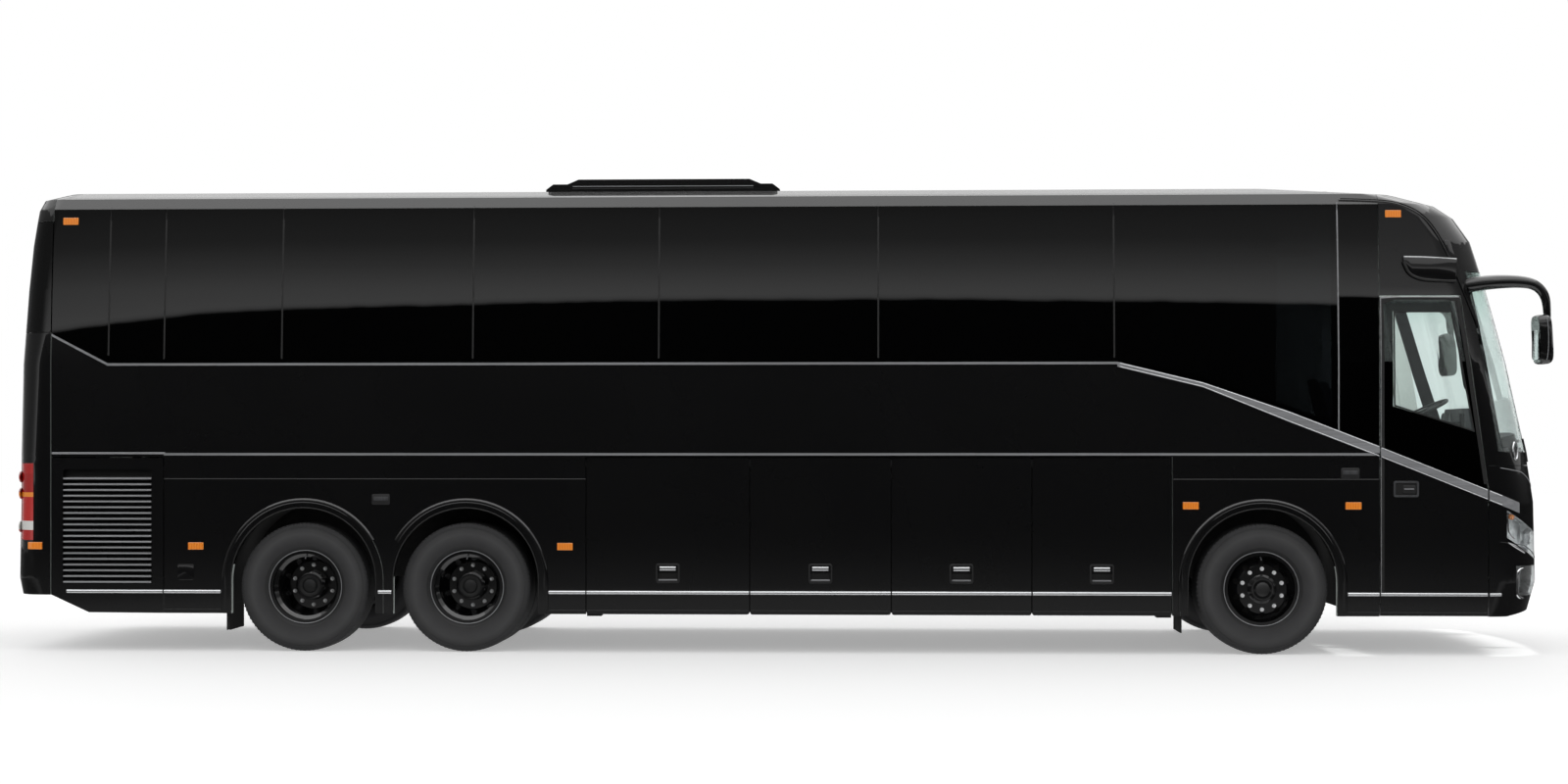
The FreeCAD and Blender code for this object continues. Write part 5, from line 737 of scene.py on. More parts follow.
def ring_of(name, make, count, centre, side, material, body, slot):
    """Many copies of a small form, each turned on about the axle, in one mesh."""
    whole = bmesh.new()
    for number in range(count):
        one = bmesh.new()
        make(one)
        bmesh.ops.rotate(one, verts=one.verts, cent=(0, 0, 0),
                         matrix=Matrix.Rotation(math.tau * number / count, 3, "Y"))
        scratch = bpy.data.meshes.new("scratch")
        one.to_mesh(scratch)
        one.free()
        whole.from_mesh(scratch)
        bpy.data.meshes.remove(scratch)
    return settle(whole, name, centre, side, material, body, slot, 30)


def shoulder_block(outward, middle):
    """The maker of one raised block on a tyre's shoulder."""
    def make(shell):
        bmesh.ops.create_cube(shell, size=1.0)
        bmesh.ops.scale(shell, verts=shell.verts, vec=(0.011, 0.006, 0.030))
        tilt = Matrix.Rotation(outward * 0.32, 3, "X")
        bmesh.ops.rotate(shell, verts=shell.verts, cent=(0, 0, 0), matrix=tilt)
        bmesh.ops.translate(shell, verts=shell.verts, vec=(0, middle + outward * 0.1435, 0.5195))
    return make


def wheel_nut(face, radius):
    """The maker of one wheel nut: a flange, a hexagon and the stud's end."""
    def make(shell):
        flange, hexagon, stud = (0.0, 0.0175, 0.005, 20), (0.005, 0.0140, 0.018, 6), (0.023, 0.008, 0.012, 12)
        for low, width, depth, corners in (flange, hexagon, stud):
            made = bmesh.ops.create_cone(shell, cap_ends=True, segments=corners, radius1=width,
                                         radius2=width * 0.9, depth=depth)["verts"]
            bmesh.ops.rotate(shell, verts=made, cent=(0, 0, 0),
                             matrix=Matrix.Rotation(math.radians(-90), 3, "X"))
            bmesh.ops.translate(shell, verts=made, vec=(0, face + low + depth / 2, radius))
    return make


wheel_faces = {"front": (0.150, 0.180), "drive": (-0.153, -0.025), "tag": (-0.153, -0.025)}
twin_middles, nut_circle = (0.0, -0.35), 0.1675
for name, joint in wheel_joints.items():
    _spin, axle, side = name.split("_")
    turn = SIDES[side]
    centre = Vector(joint["pos_m"])
    body = joint["child"]
    for number, middle in enumerate(twin_middles if axle == "drive" else twin_middles[:1]):
        made = turned(f"tyre_{axle}_{side}_{number}", tyre_profile(middle), 96, centre, turn, tyre_rubber,
                      body, "tyre_rubber")
        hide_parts(f"tyre_{axle}_{side}")
        for outward in (1, -1):
            ring_of(f"tyre_blocks_{axle}_{side}_{number}_{'in' if outward < 0 else 'out'}",
                    shoulder_block(outward, middle), 90, centre, turn, tyre_rubber, body, "tyre_rubber")
    panel_from(f"rim_{axle}_{side}", f"disc_{axle}_{side}", black_paint, 30)
    face, cap = wheel_faces[axle]
    ring_of(f"wheel_nuts_{axle}_{side}", wheel_nut(face, nut_circle), 10, centre, turn, nut_zinc, body,
            "silver_trim")
    flange = [(0.1195, 0.300), (0.1215, 0.303), (0.1215, 0.3075), (0.1195, 0.3092), (0.1180, 0.3045),
              (0.1195, 0.300)]
    turned(f"rim_flange_bead_{axle}_{side}", flange, 96, centre, turn, ground_steel, body, "silver_trim")
    dome = [(cap + 0.018 * math.cos(math.radians(angle)), 0.060 * math.sin(math.radians(angle)))
            for angle in (90, 72, 54, 36, 18, 0)]
    turned(f"hub_cap_{axle}_{side}", [(cap - 0.010, 0.092), (cap - 0.002, 0.0925), (cap + 0.002, 0.088),
                                      (cap + 0.002, 0.068), (cap + 0.0, 0.062)] + dome, 64, centre, turn,
           chassis_black, body, "rim_steel", 40)
    if axle == "front":
        drum = [(-0.09, 0.125), (-0.09, 0.243), (-0.085, 0.248), (0.055, 0.248), (0.06, 0.243), (0.06, 0.125),
                (-0.09, 0.125)]
        turned(f"brake_drum_{side}", drum, 64, centre, turn, cast_grey, joint["parent"], "frame_steel")
    stem = [(0.0, 0.06, 0.255), (0.0, 0.085, 0.262), (0.0, 0.105, 0.250), (0.0, 0.125, 0.236)]
    stem = [(centre.x + x, centre.y + turn * y, centre.z + z) for x, y, z in stem]
    tube(f"valve_stem_{axle}_{side}", stem, 0.0045, ground_steel, body, "silver_trim")

# Headlamps and fog lamps: each lamp is a clear moulded cover over a mirrored bowl, with projectors and an
# amber corner inside. Chromed trims and seams are laid round them on the mask.
lens_clear, tree, shader = finish_of("moulded_clear_lens", Base_Color=linear("#f3f6f6"), Roughness=0.02,
                                     IOR=1.35, Transmission_Weight=1.0)
# Clear polycarbonate under a hard coat: a sharp gloss, bent by faint flow marks some 70 mm apart.
flow = node(tree, "ShaderNodeTexNoise", Vector=node(tree, "ShaderNodeTexCoord").outputs["Object"], Scale=14.0)
relief = node(tree, "ShaderNodeBump", Height=flow.outputs["Fac"], Strength=0.05, Distance=0.002)
tree.links.new(relief.outputs["Normal"], shader.inputs["Normal"])
bowl_silver, tree, shader = finish_of("metallised_bowl", Metallic=0.55, Roughness=0.3)
# Aluminium laid on plastic in a vacuum: a soft, bright mirror, cloudy over some 40 mm.
mottled(tree, shader, "#b9bbbd", "#e2e3e4", 26.0, 0.1, 0.002)
bright_metal, tree, shader = finish_of("chromed_metal", Base_Color=linear("#d8d9db"), Metallic=1.0,
                                       Roughness=0.12)
# Plated and polished: a bright mirror, which polishing left wavy over some 30 mm.
wave = node(tree, "ShaderNodeTexNoise", Vector=node(tree, "ShaderNodeTexCoord").outputs["Object"], Scale=30.0)
relief = node(tree, "ShaderNodeBump", Height=wave.outputs["Fac"], Strength=0.03, Distance=0.001)
tree.links.new(relief.outputs["Normal"], shader.inputs["Normal"])
amber_lens, tree, shader = finish_of("amber_lens", Roughness=0.12, Coat_Weight=1.0, Coat_Roughness=0.03)
# Acrylic coloured all through, with upright ribs moulded 13 mm apart: glossy, in lighter and deeper stripes.
place = node(tree, "ShaderNodeTexCoord").outputs["Object"]
ribs = node(tree, "ShaderNodeTexWave", {"bands_direction": "X"}, Vector=place, Scale=24.0, Distortion=0.0)
tone = node(tree, "ShaderNodeValToRGB", Fac=ribs.outputs["Fac"])
tone.color_ramp.elements[0].color = linear("#d96c14")
tone.color_ramp.elements[1].color = linear("#f79a3a")
tree.links.new(tone.outputs["Color"], shader.inputs["Base Color"])
relief = node(tree, "ShaderNodeBump", Height=ribs.outputs["Fac"], Strength=0.4, Distance=0.003)
tree.links.new(relief.outputs["Normal"], shader.inputs["Normal"])


def islands(shell):
    """The separate solids in a mesh, as lists of face numbers, in the order of their first faces."""
    left = set(shell.faces)
    groups = []
    while left:
        edge = [min(left, key=lambda face: face.index)]
        left -= set(edge)
        found = list(edge)
        while edge:
            near = {other for face in edge for side in face.edges for other in side.link_faces}
            near &= left
            left -= near
            edge = list(near)
            found += edge
        groups.append(sorted(face.index for face in found))
    return groups


def part_of(source, faces, keep, name, material, body, slot, wall):
    """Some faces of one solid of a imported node, given a thin wall inwards."""
    shell = merged(source)
    shell.faces.ensure_lookup_table()
    wanted = {number for number in faces if keep(shell.faces[number])}
    bmesh.ops.delete(shell, geom=[f for f in shell.faces if f.index not in wanted], context="FACES")
    made = shaded(shell, name, material, 40)
    thick = made.modifiers.new("wall", "SOLIDIFY")
    thick.thickness = wall
    thick.offset = -1
    place_piece(made, body, slot, source)
    return made


def turned_x(name, profile, centre, material, body, slot):
    """Spins a line of (forward, radius) points about an axis along the coach."""
    shell = spun(profile, 40, (1, 0, 0))
    bmesh.ops.translate(shell, verts=shell.verts, vec=centre)
    bmesh.ops.recalc_face_normals(shell, faces=shell.faces)
    return place_piece(shaded(shell, name, material, 35), body, slot)


def on_skin(face, turn):
    """Whether a face of a headlamp lies on the body's skin, on its front or its own side."""
    return (face.normal.x > 0.2 or face.normal.y * turn > 0.55) and abs(face.normal.z) < 0.8


lamps = merged("headlamps")
lamps.faces.index_update()
lamps.faces.ensure_lookup_table()
for number, faces in enumerate(islands(lamps)):
    middle = sum((lamps.faces[f].calc_center_median() for f in faces), Vector()) / len(faces)
    turn = -1 if middle.y < 0 else 1
    part_of("headlamps", faces, lambda face: on_skin(face, turn), f"lamp_cover_{number}", lens_clear, "coach",
            "lamp_lens", 0.004)
    part_of("headlamps", faces, lambda face: not on_skin(face, turn), f"lamp_bowl_{number}",
            bowl_silver if middle.z > 0.75 else grained_plastic, "coach", "silver_trim", 0.002)
lamps.free()
front_way = (-1, 0, 0)
for side, turn in SIDES.items():
    for label, across, size in (("low", 1.03, 0.062), ("high", 0.83, 0.055)):
        level = 1.076 - 0.27 * (1.29 - across) / 0.65
        face = skin_point((6.2, turn * across, level), front_way)
        centre = (face.x - 0.055, turn * across, level)
        holder = [(-0.035, 0.0), (-0.035, size * 0.6), (0.0, size * 1.15), (0.012, size * 1.15),
                  (0.012, size), (0.004, size * 0.92)]
        turned_x(f"projector_{label}_{side}", holder, centre, bright_metal, "coach", "silver_trim")
        lens = [(-0.004, size * 0.9), (0.004, size * 0.9), (0.018, size * 0.6), (0.026, size * 0.3),
                (0.028, 0.0)]
        turned_x(f"projector_lens_{label}_{side}", lens, centre, lens_clear, "coach", "lamp_lens")
    fog = skin_point((6.2, turn * 0.98, 0.61), front_way)
    turned_x(f"fog_bowl_{side}", [(-0.03, 0.0), (-0.03, 0.03), (0.0, 0.06), (0.012, 0.062), (0.012, 0.055)],
             (fog.x - 0.05, fog.y, fog.z), bright_metal, "coach", "silver_trim")
    corner = skin_point((6.045, turn * 1.2, 1.135), (0, -turn, 0))
    shell = bmesh.new()
    bmesh.ops.create_uvsphere(shell, u_segments=20, v_segments=12, radius=0.026)
    bmesh.ops.translate(shell, verts=shell.verts, vec=(6.052, corner.y - turn * 0.034, 1.135))
    place_piece(shaded(shell, f"amber_corner_{side}", amber_lens, 60), "coach", "amber_lens")


def on_side(points, turn, lift):
    """Points (x, z) moved onto the skin as seen from one side, a little proud."""
    found = [skin_point((x, turn * 1.0, z), (0, -turn, 0)) for x, z in points]
    return [(p.x, p.y + turn * lift, p.z) for p in found]


def round_corner(turn, heights):
    """A line round a front corner from the side to the middle, at heights read off evenly."""
    points = []
    count, side_share, lift = 26, 0.6, 0.001
    for step in range(count + 1):
        share = step / count
        spot = share * (len(heights) - 1)
        low = min(int(spot), len(heights) - 2)
        z = heights[low] + (heights[low + 1] - heights[low]) * (spot - low)
        if share < side_share:
            angle = math.radians(90 * (1 - share / side_share))
            way = Vector((-math.cos(angle), -turn * math.sin(angle), 0))
            found = skin_point((5.95, turn * 0.85, z), way)
        else:
            way = Vector(front_way)
            found = skin_point((6.2, turn * 0.85 * (1 - (share - side_share) / 0.4), z), way)
        points.append(tuple(found - way * lift))
    return points


for side, turn in SIDES.items():
    upper = round_corner(turn, [1.535, 1.50, 1.40, 1.33, 1.31, 1.30])
    tube(f"mask_seam_upper_{side}", upper, 0.0035, brushed_strip, "coach", "silver_trim", order=2)
    lower = round_corner(turn, [0.930, 0.90, 0.80, 0.76, 0.75, 0.75])
    tube(f"mask_seam_lower_{side}", lower, 0.003, seal_rubber, "coach", "black_plastic", order=2)
    blade = on_side([(6.012, 0.926), (6.06, 0.902), (6.11, 0.874), (6.165, 0.842)], turn, 0.001)
    tube(f"lamp_blade_{side}", blade, 0.012, bright_metal, "coach", "silver_trim",
         taper=[0.25, 1.0, 1.0, 0.7])
    rim = on_side([(6.012, 1.168), (6.010, 1.08), (6.020, 0.985), (6.07, 0.955)], turn, 0.001)
    tube(f"lamp_rim_{side}", rim, 0.007, bright_metal, "coach", "silver_trim")
    bracket = on_side([(6.150, 0.712), (6.108, 0.705), (6.097, 0.66), (6.097, 0.52), (6.108, 0.472),
                       (6.160, 0.466)], turn, 0.002)
    tube(f"fog_bracket_{side}", bracket, 0.013, bright_metal, "coach", "silver_trim",
         taper=[0.6, 1, 1, 1, 1, 0.6])

# Grille in the lower front, and the wipers above it: moulded plastic slats with nearly black strips of
# painted shade for the gaps between, laid on in narrow runs that follow the bend, and pressed wiper arms with
# a plastic finish.
grille_half, slat_pitch = 0.705, 0.031
# The gap runs are nearly black strips of painted shade between the slats.
for number in range(7):
    for kind, low, high, proud, material in (("gap", 0.503, 0.522, 0.0008, recess_painted_shade),
                                             ("slat", 0.522, 0.534, 0.0016, grained_plastic)):
        if kind == "gap" or number < 6:
            rise = slat_pitch * number
            top = [(-grille_half, high + rise), (grille_half, high + rise)]
            foot = [(-grille_half, low + rise), (grille_half, low + rise)]
            ribbon(f"front_grille_{kind}_{number}", top, foot, -0.002, proud, front_way, material, "coach",
                   "black_plastic", 0.02)
panel_from("wipers", "wiper_arms", grained_plastic, bevel=0.001)

# Tail and marker lamps: one tall cluster at each rear corner, with red, amber and white bands, and small
# amber lenses along the sides. All are moulded acrylic, screwed on over a gasket.
cluster, tree, shader = finish_of("tail_lamp_cluster", Roughness=0.1, Coat_Weight=1.0, Coat_Roughness=0.03)
# Acrylic moulded in bands of colour that meet sharply: glossy, with prisms inside its face, 14 mm apart.
place = node(tree, "ShaderNodeTexCoord").outputs["Object"]
level = node(tree, "ShaderNodeSeparateXYZ", Vector=place)
share = node(tree, "ShaderNodeMapRange", Value=level.outputs["Z"], From_Min=0.925, From_Max=1.57)
bands = node(tree, "ShaderNodeValToRGB", Fac=share.outputs["Result"])
bands.color_ramp.interpolation = "CONSTANT"
bands.color_ramp.elements[0].color = linear("#a51d1b")
bands.color_ramp.elements[1].position = 0.86
bands.color_ramp.elements[1].color = linear("#a51d1b")
for position, colour in ((0.13, "#cfcfcb"), (0.25, "#b0201d"), (0.56, "#e0862e"), (0.62, "#981614")):
    bands.color_ramp.elements.new(position).color = linear(colour)
tree.links.new(bands.outputs["Color"], shader.inputs["Base Color"])
prisms = node(tree, "ShaderNodeTexVoronoi", {"feature": "F1"}, Vector=place, Scale=70.0)
relief = node(tree, "ShaderNodeBump", Height=prisms.outputs["Distance"], Strength=0.35, Distance=0.003)
tree.links.new(relief.outputs["Normal"], shader.inputs["Normal"])
panel_from("tail_lamps", "tail_lamp_lenses", cluster, bevel=0.004)
panel_from("marker_lamps", "marker_lamp_lenses", amber_lens, bevel=0.004)

# Engine lid: plastic louvres over the cooling air's outlet, and a brushed metal latch plate under them.
# Beside it, three round lenses stand proud of each tail lamp.
rear_way = (1, 0, 0)
for number in range(14):
    level = 1.10 + 0.044 * number
    slat = along([(-0.76, level), (0.76, level), (0.76, level + 0.020), (-0.76, level + 0.020)], 0.2)
    laid(plate(f"lid_louvre_{number}", slat, -0.009, 0.002, grained_plastic, "engine_lid", "black_plastic",
               bevel=0.0, axis="X"), rear_way)
for side, turn in SIDES.items():
    for label, level in (("stop", 1.455), ("turn", 1.315), ("reverse", 1.035)):
        spot = skin_point((-6.3, turn * 1.16, level), rear_way)
        lens = [(0.006, 0.048), (-0.006, 0.048), (-0.006, 0.041), (-0.002, 0.038), (-0.002, 0.0)]
        turned_x(f"tail_ring_{label}_{side}", lens, spot, cluster, "coach", "red_lens")
laid(plate("lid_latch", box_outline((-0.09, 0.965), (0.09, 1.015), 0.012), -0.006, 0.001, brushed_strip,
           "engine_lid", "silver_trim", bevel=0.002, axis="X"), rear_way)

# Mirrors: a smooth moulded arm from the front corner, curving down in front of a deep rounded head that holds
# the glass. Both are painted with the body, and a thin bright seam runs down the head's side.
mirror_glass, tree, shader = finish_of("silvered_mirror", Base_Color=linear("#e6e8ea"), Metallic=1.0,
                                       Roughness=0.02)
# Glass silvered at the back: a true mirror, so it is left without a pattern.
head_x, head_y, head_z = 6.245, 1.42, 2.575
for side, turn in SIDES.items():
    reach = turn * head_y
    arm = [(5.70, turn * 1.17, 3.03), (5.80, turn * 1.235, 3.045), (5.92, turn * 1.36, 3.05),
           (6.08, reach, 3.045), (6.20, reach, 3.02), (6.275, reach, 2.93), (6.288, reach, 2.80),
           (6.290, reach, 2.64), (6.280, reach, 2.47)]
    made = tube(f"mirror_arm_{side}", arm, 0.050, black_paint, "coach", "black_paint",
                taper=[1.25, 1.2, 1.1, 0.95, 0.85, 0.75, 0.6, 0.5, 0.3], sides=6)
    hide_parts(f"mirror_{side}")
    shell = bmesh.new()
    bmesh.ops.create_cube(shell, size=2.0)
    bmesh.ops.subdivide_edges(shell, edges=shell.edges, cuts=9, use_grid_fill=True)
    for vertex in shell.verts:
        u, v, w = vertex.co
        length = (abs(u) ** 4 + abs(v) ** 5 + abs(w) ** 5) ** 0.2
        vertex.co = Vector((u, v, w)) / max(length, 0.001)
        vertex.co.x = max(vertex.co.x, -0.72)
    bmesh.ops.scale(shell, verts=shell.verts, vec=(0.066, 0.118, 0.200))
    bmesh.ops.rotate(shell, verts=shell.verts, cent=(0, 0, 0),
                     matrix=Matrix.Rotation(math.radians(-3), 3, "Y"))
    bmesh.ops.translate(shell, verts=shell.verts, vec=(head_x, reach, head_z))
    place_piece(shaded(shell, f"mirror_head_{side}", black_paint, 40), "coach", "black_paint",
                f"mirror_{side}")
    pane = [(reach + y, head_z + z) for y, z in box_outline((-0.095, -0.165), (0.095, 0.165), 0.04)]
    plate(f"mirror_glass_{side}", pane, 6.1935, 6.1962, mirror_glass, "coach", "silver_trim", bevel=0.0008,
          axis="X")
    seam = [(head_x + 0.0627 * math.cos(a) * 0.3, reach + turn * 0.1175, head_z + 0.17 * math.sin(a))
            for a in (math.radians(-80 + 16 * step) for step in range(11))]
    tube(f"mirror_seam_{side}", seam, 0.003, brushed_strip, "coach", "silver_trim", order=2)

# Deflector over the entry door, with a bright lip and a rubber foot, and a slim fairing down the windscreen
# pillar. Both are moulded, painted and bonded to the skin, and the left side has the same pair.
for side, turn in SIDES.items():
    scoop = [(5.168, 3.263), (5.172, 3.215), (5.195, 3.150), (5.240, 3.105), (5.310, 3.078), (5.420, 3.068),
             (5.592, 3.062), (5.606, 3.150), (5.612, 3.243), (5.400, 3.255)]
    way = (0, -turn, 0)
    laid(plate(f"deflector_{side}", along(scoop, 0.06), turn * 0.028, turn * -0.004, black_paint, "coach",
               "black_paint", bevel=0.006), way)
    lip = on_side([(5.172, 3.262), (5.30, 3.260), (5.45, 3.252), (5.606, 3.244)], turn, 0.026)
    tube(f"deflector_edge_{side}", lip, 0.006, bright_strip, "coach", "silver_trim")
    under = on_side([(5.172, 3.225), (5.20, 3.145), (5.25, 3.102), (5.33, 3.074), (5.46, 3.066),
                     (5.592, 3.062)], turn, 0.020)
    tube(f"deflector_foot_{side}", under, 0.012, seal_rubber, "coach", "black_plastic")
    fairing = [(5.505, 3.40), (5.560, 3.40), (5.640, 3.15), (5.720, 2.92), (5.800, 2.68), (5.770, 2.70),
               (5.690, 2.90), (5.600, 3.12)]
    laid(plate(f"pillar_fairing_{side}", along(fairing, 0.06), turn * 0.012, turn * -0.004, black_paint,
               "coach", "black_paint", bevel=0.004), way)

# Inside the driver's corner: grained plastic trim clipped over the windscreen pillar, and the pale cassette
# that holds the side window's rolled blind, screwed on over the glass.
ribbon("cab_pillar_trim", [(5.655, 3.04), (6.035, 1.80)], [(5.755, 3.04), (6.135, 1.80)], -0.060, -0.045,
       left_way, grained_plastic, "coach", "black_plastic")
ribbon("cab_blind_cassette", [(5.00, 3.03), (5.65, 3.03)], [(5.00, 2.80), (5.65, 2.80)], -0.085, -0.060,
       left_way, pale_lining, "coach", "black_plastic")

# Gutter: the roof's gutter carries on as a painted rib round each front corner, with a rubber line along it,
# down to the windscreen pillar. A chromed clip closes the screen's lower corner.
for side, turn in SIDES.items():
    way = (0, -turn, 0)
    rib = [(4.66, 3.735), (4.95, 3.728), (5.15, 3.700), (5.33, 3.610), (5.44, 3.470), (5.53, 3.300),
           (5.60, 3.130)]
    found = [skin_point((x, turn * 1.0, z), way) for x, z in rib]
    tube(f"gutter_rib_{side}", [(p.x, p.y, p.z) for p in found], 0.011, black_paint, "coach", "black_paint")
    line = [(p.x + 0.012, p.y + turn * 0.002, p.z + 0.014) for p in found]
    tube(f"gutter_line_{side}", line, 0.004, seal_rubber, "coach", "black_plastic")
    clip = on_side([(6.085, 1.745), (6.062, 1.70), (6.080, 1.61), (6.105, 1.60), (6.120, 1.68),
                    (6.105, 1.74)], turn, 0.004)
    tube(f"screen_corner_clip_{side}", clip, 0.009, bright_metal, "coach", "silver_trim")

# Roof: two low moulded hatches, painted with the body and hinged to its skin, and two thin raised lines along
# each side of the air unit's cover that stand for a groove: the lower one dark rubber as its painted shade,
# the upper one a bright strip as its painted highlight.
for label, x in (("rear", -5.70), ("front", 4.62)):
    shell = bmesh.new()
    bmesh.ops.create_cube(shell, size=1.0)
    bmesh.ops.scale(shell, verts=shell.verts, vec=(0.30, 0.56, 0.06))
    bmesh.ops.bevel(shell, geom=list(shell.edges), offset=0.016, segments=3, profile=0.6, affect="EDGES")
    bmesh.ops.translate(shell, verts=shell.verts, vec=(x, 0, 3.885))
    place_piece(shaded(shell, f"roof_hatch_{label}", black_paint, 40), "coach", "black_paint")
for side, turn in SIDES.items():
    # The dark line is a groove's painted shade, and the bright line above it is its painted highlight.
    for label, level in (("low", 3.887), ("high", 3.906)):
        groove = [(-1.70, turn * 0.950, level), (-0.17, turn * 0.950, level)]
        tube(f"unit_groove_{side}_{label}", groove, 0.0035, brushed_strip if label == "high" else seal_rubber,
             "coach", "black_plastic", order=2)

# Cab: a foam-backed dashboard with dials and vents let into it, and a steering wheel whose steel rim and four
# spokes are bound in hide, on a sloping column.
soft_trim, tree, shader = finish_of("moulded_dash_skin", Roughness=0.6)
# A soft slush-moulded skin: dark grey with no shine, its leather grain drawn 2.6 mm across.
mottled(tree, shader, "#2b2c2d", "#363738", 380.0, 0.4, 0.0005)
panel_from("dashboard", "dash_shell", soft_trim, bevel=0.012)
driver_y = 0.64
dial = [(0.0, 0.075), (-0.008, 0.075), (-0.008, 0.066), (-0.003, 0.064), (-0.003, 0.0)]
for number, across in enumerate((-0.10, 0.10)):
    turned_x(f"dial_{number}", dial, (6.022, driver_y + across, 1.94), grained_plastic, "coach",
             "black_plastic")
for number, across in enumerate((-0.62, -0.30, 0.02)):
    plate(f"dash_vent_{number}", box_outline((across, 1.66), (across + 0.17, 1.74), 0.015), 5.963, 5.972,
          grained_plastic, "coach", "black_plastic", bevel=0.003, axis="X")
hide, tree, shader = finish_of("stitched_hide", Roughness=0.5)
# Black hide, polished by hands: a soft sheen over pores that are drawn 2 mm apart, coarser than real ones.
mottled(tree, shader, "#171718", "#242425", 500.0, 0.3, 0.0004)
rim_radius, grip_radius = 0.2295, 0.0155
wheel_place = Matrix.Translation((5.805, driver_y, 2.03)) @ Matrix.Rotation(math.radians(-25), 4, "Y")
shell = bmesh.new()
grip = bmesh.ops.create_circle(shell, segments=12, radius=grip_radius)["verts"]
bmesh.ops.rotate(shell, verts=grip, cent=(0, 0, 0), matrix=Matrix.Rotation(math.radians(90), 3, "X"))
bmesh.ops.translate(shell, verts=grip, vec=(rim_radius, 0, 0))
bmesh.ops.spin(shell, geom=grip + list(shell.edges), cent=(0, 0, 0), axis=(0, 0, 1), angle=math.tau, steps=72,
               use_merge=True)
bmesh.ops.remove_doubles(shell, verts=shell.verts, dist=0.00001)
for angle in (30, 150, 210, 330):
    made = bmesh.ops.create_cube(shell, size=1.0)["verts"]
    bmesh.ops.scale(shell, verts=made, vec=(0.19, 0.030, 0.012))
    bmesh.ops.translate(shell, verts=made, vec=(0.125, 0, -0.004))
    bmesh.ops.rotate(shell, verts=made, cent=(0, 0, 0), matrix=Matrix.Rotation(math.radians(angle), 3, "Z"))
for radius, low, high in ((0.060, -0.028, 0.014), (0.026, -0.515, -0.028)):
    made = bmesh.ops.create_cone(shell, cap_ends=True, segments=40, radius1=radius, radius2=radius * 0.9,
                                 depth=high - low)["verts"]
    bmesh.ops.translate(shell, verts=made, vec=(0, 0, (low + high) / 2))
bmesh.ops.recalc_face_normals(shell, faces=shell.faces)
shell.transform(wheel_place)
place_piece(shaded(shell, "steering_wheel_bound", hide, 40), "coach", "black_plastic", "steering_wheel")

# Cabin: vinyl floor, moulded racks, and a moquette seat for every place, in plastic shells on pedestals. The
# pads are swelled by one short cloth simulation each, for a squab and a back, and copied to every seat.
vinyl, tree, shader = finish_of("speckled_vinyl_floor", Roughness=0.55)
# Sheet vinyl with chips pressed in, worn to a dull sheen: mid grey with speckles 3 mm across.
mottled(tree, shader, "#4a4c4e", "#5d5f61", 300.0, 0.1, 0.0004)
panel_from("cabin_floor", "finished_cabin_floor", vinyl, lining=pale_lining,
           middle=(0, 0, 9.0))
panel_from("luggage_racks", "rack_shells", pale_lining, bevel=0.004)
moquette, tree, shader = finish_of("woven_moquette", Roughness=0.95, Sheen_Weight=0.25)
# Cut wool pile: slate grey and quite matt, paler where light grazes the tufts, which are 1 mm apart.
mottled(tree, shader, "#33373e", "#4c525b", 900.0, 0.6, 0.0008)
seat_shell, tree, shader = finish_of("seat_shell_plastic", Roughness=0.55)
# Moulded plastic with a scratch-hiding grain, drawn 2.9 mm across: dark grey and satin.
mottled(tree, shader, "#232425", "#2d2e2f", 350.0, 0.25, 0.0004)


def stuffed(name, size, cap):
    """The points and faces of a pad round the origin, swelled under pressure by up to the cap."""
    shell = bmesh.new()
    bmesh.ops.create_cube(shell, size=2.0)
    bmesh.ops.subdivide_edges(shell, edges=shell.edges, cuts=13, use_grid_fill=True)
    for vertex in shell.verts:
        u, v, w = vertex.co
        length = (abs(u) ** 6 + abs(v) ** 6 + abs(w) ** 6) ** (1 / 6)
        crown = 1 + 0.10 * math.cos(min(1, abs(v)) * math.pi / 2) * math.cos(min(1, abs(w)) * math.pi / 2)
        vertex.co = (u / length * size[0] / 2 * crown, v / length * size[1] / 2, w / length * size[2] / 2)
    made = shaded(shell, name, moquette, 80)
    start = [vertex.co.copy() for vertex in made.data.vertices]
    swelled = start
    stuffing = made.modifiers.new("stuffing", "CLOTH")
    stuffing.settings.use_pressure = True
    stuffing.settings.uniform_pressure_force = 4.0
    stuffing.settings.effector_weights.gravity = 0.0
    stuffing.settings.quality = 6
    for step in range(1, 19):
        bpy.context.scene.frame_set(step)
    seen = made.evaluated_get(bpy.context.evaluated_depsgraph_get())
    swelled = [vertex.co.copy() for vertex in seen.data.vertices]
    bpy.context.scene.frame_set(1)
    faces = [tuple(face.vertices) for face in made.data.polygons]
    points = []
    for old, new in zip(start, swelled):
        moved = new - old
        points.append(old + moved * min(1.0, cap / max(moved.length, 1e-6)))
    bpy.data.objects.remove(made)
    return points, faces


def pads(name, shape, places):
    """Copies of one stuffed pad at each place, in one padded piece."""
    points, faces = shape
    mesh = bpy.data.meshes.new(name)
    spots = [place @ point for place in places for point in points]
    turns = [tuple(len(points) * number + i for i in face) for number in range(len(places)) for face in faces]
    mesh.from_pydata(spots, [], turns)
    mesh.materials.append(moquette)
    mesh.shade_smooth()
    made = bpy.data.objects.new(name, mesh)
    bpy.context.scene.collection.objects.link(made)
    return place_piece(made, "coach", "seat_fabric", "seats")


squab = stuffed("squab", (0.36, 0.425, 0.115), 0.008)
back = stuffed("back", (0.100, 0.425, 0.66), 0.010)
seats = merged("seats")
seats.faces.index_update()
seats.faces.ensure_lookup_table()
frames = bmesh.new()


def steel_box(shell, low, high, shift=0.0):
    """A closed box between two corners, whose top is shifted along the coach."""
    made = bmesh.ops.create_cube(shell, size=1.0)["verts"]
    for vertex in made:
        up = vertex.co.z > 0
        vertex.co = [low[i] + (vertex.co[i] + 0.5) * (high[i] - low[i]) for i in range(3)]
        vertex.co.x += shift if up else 0.0


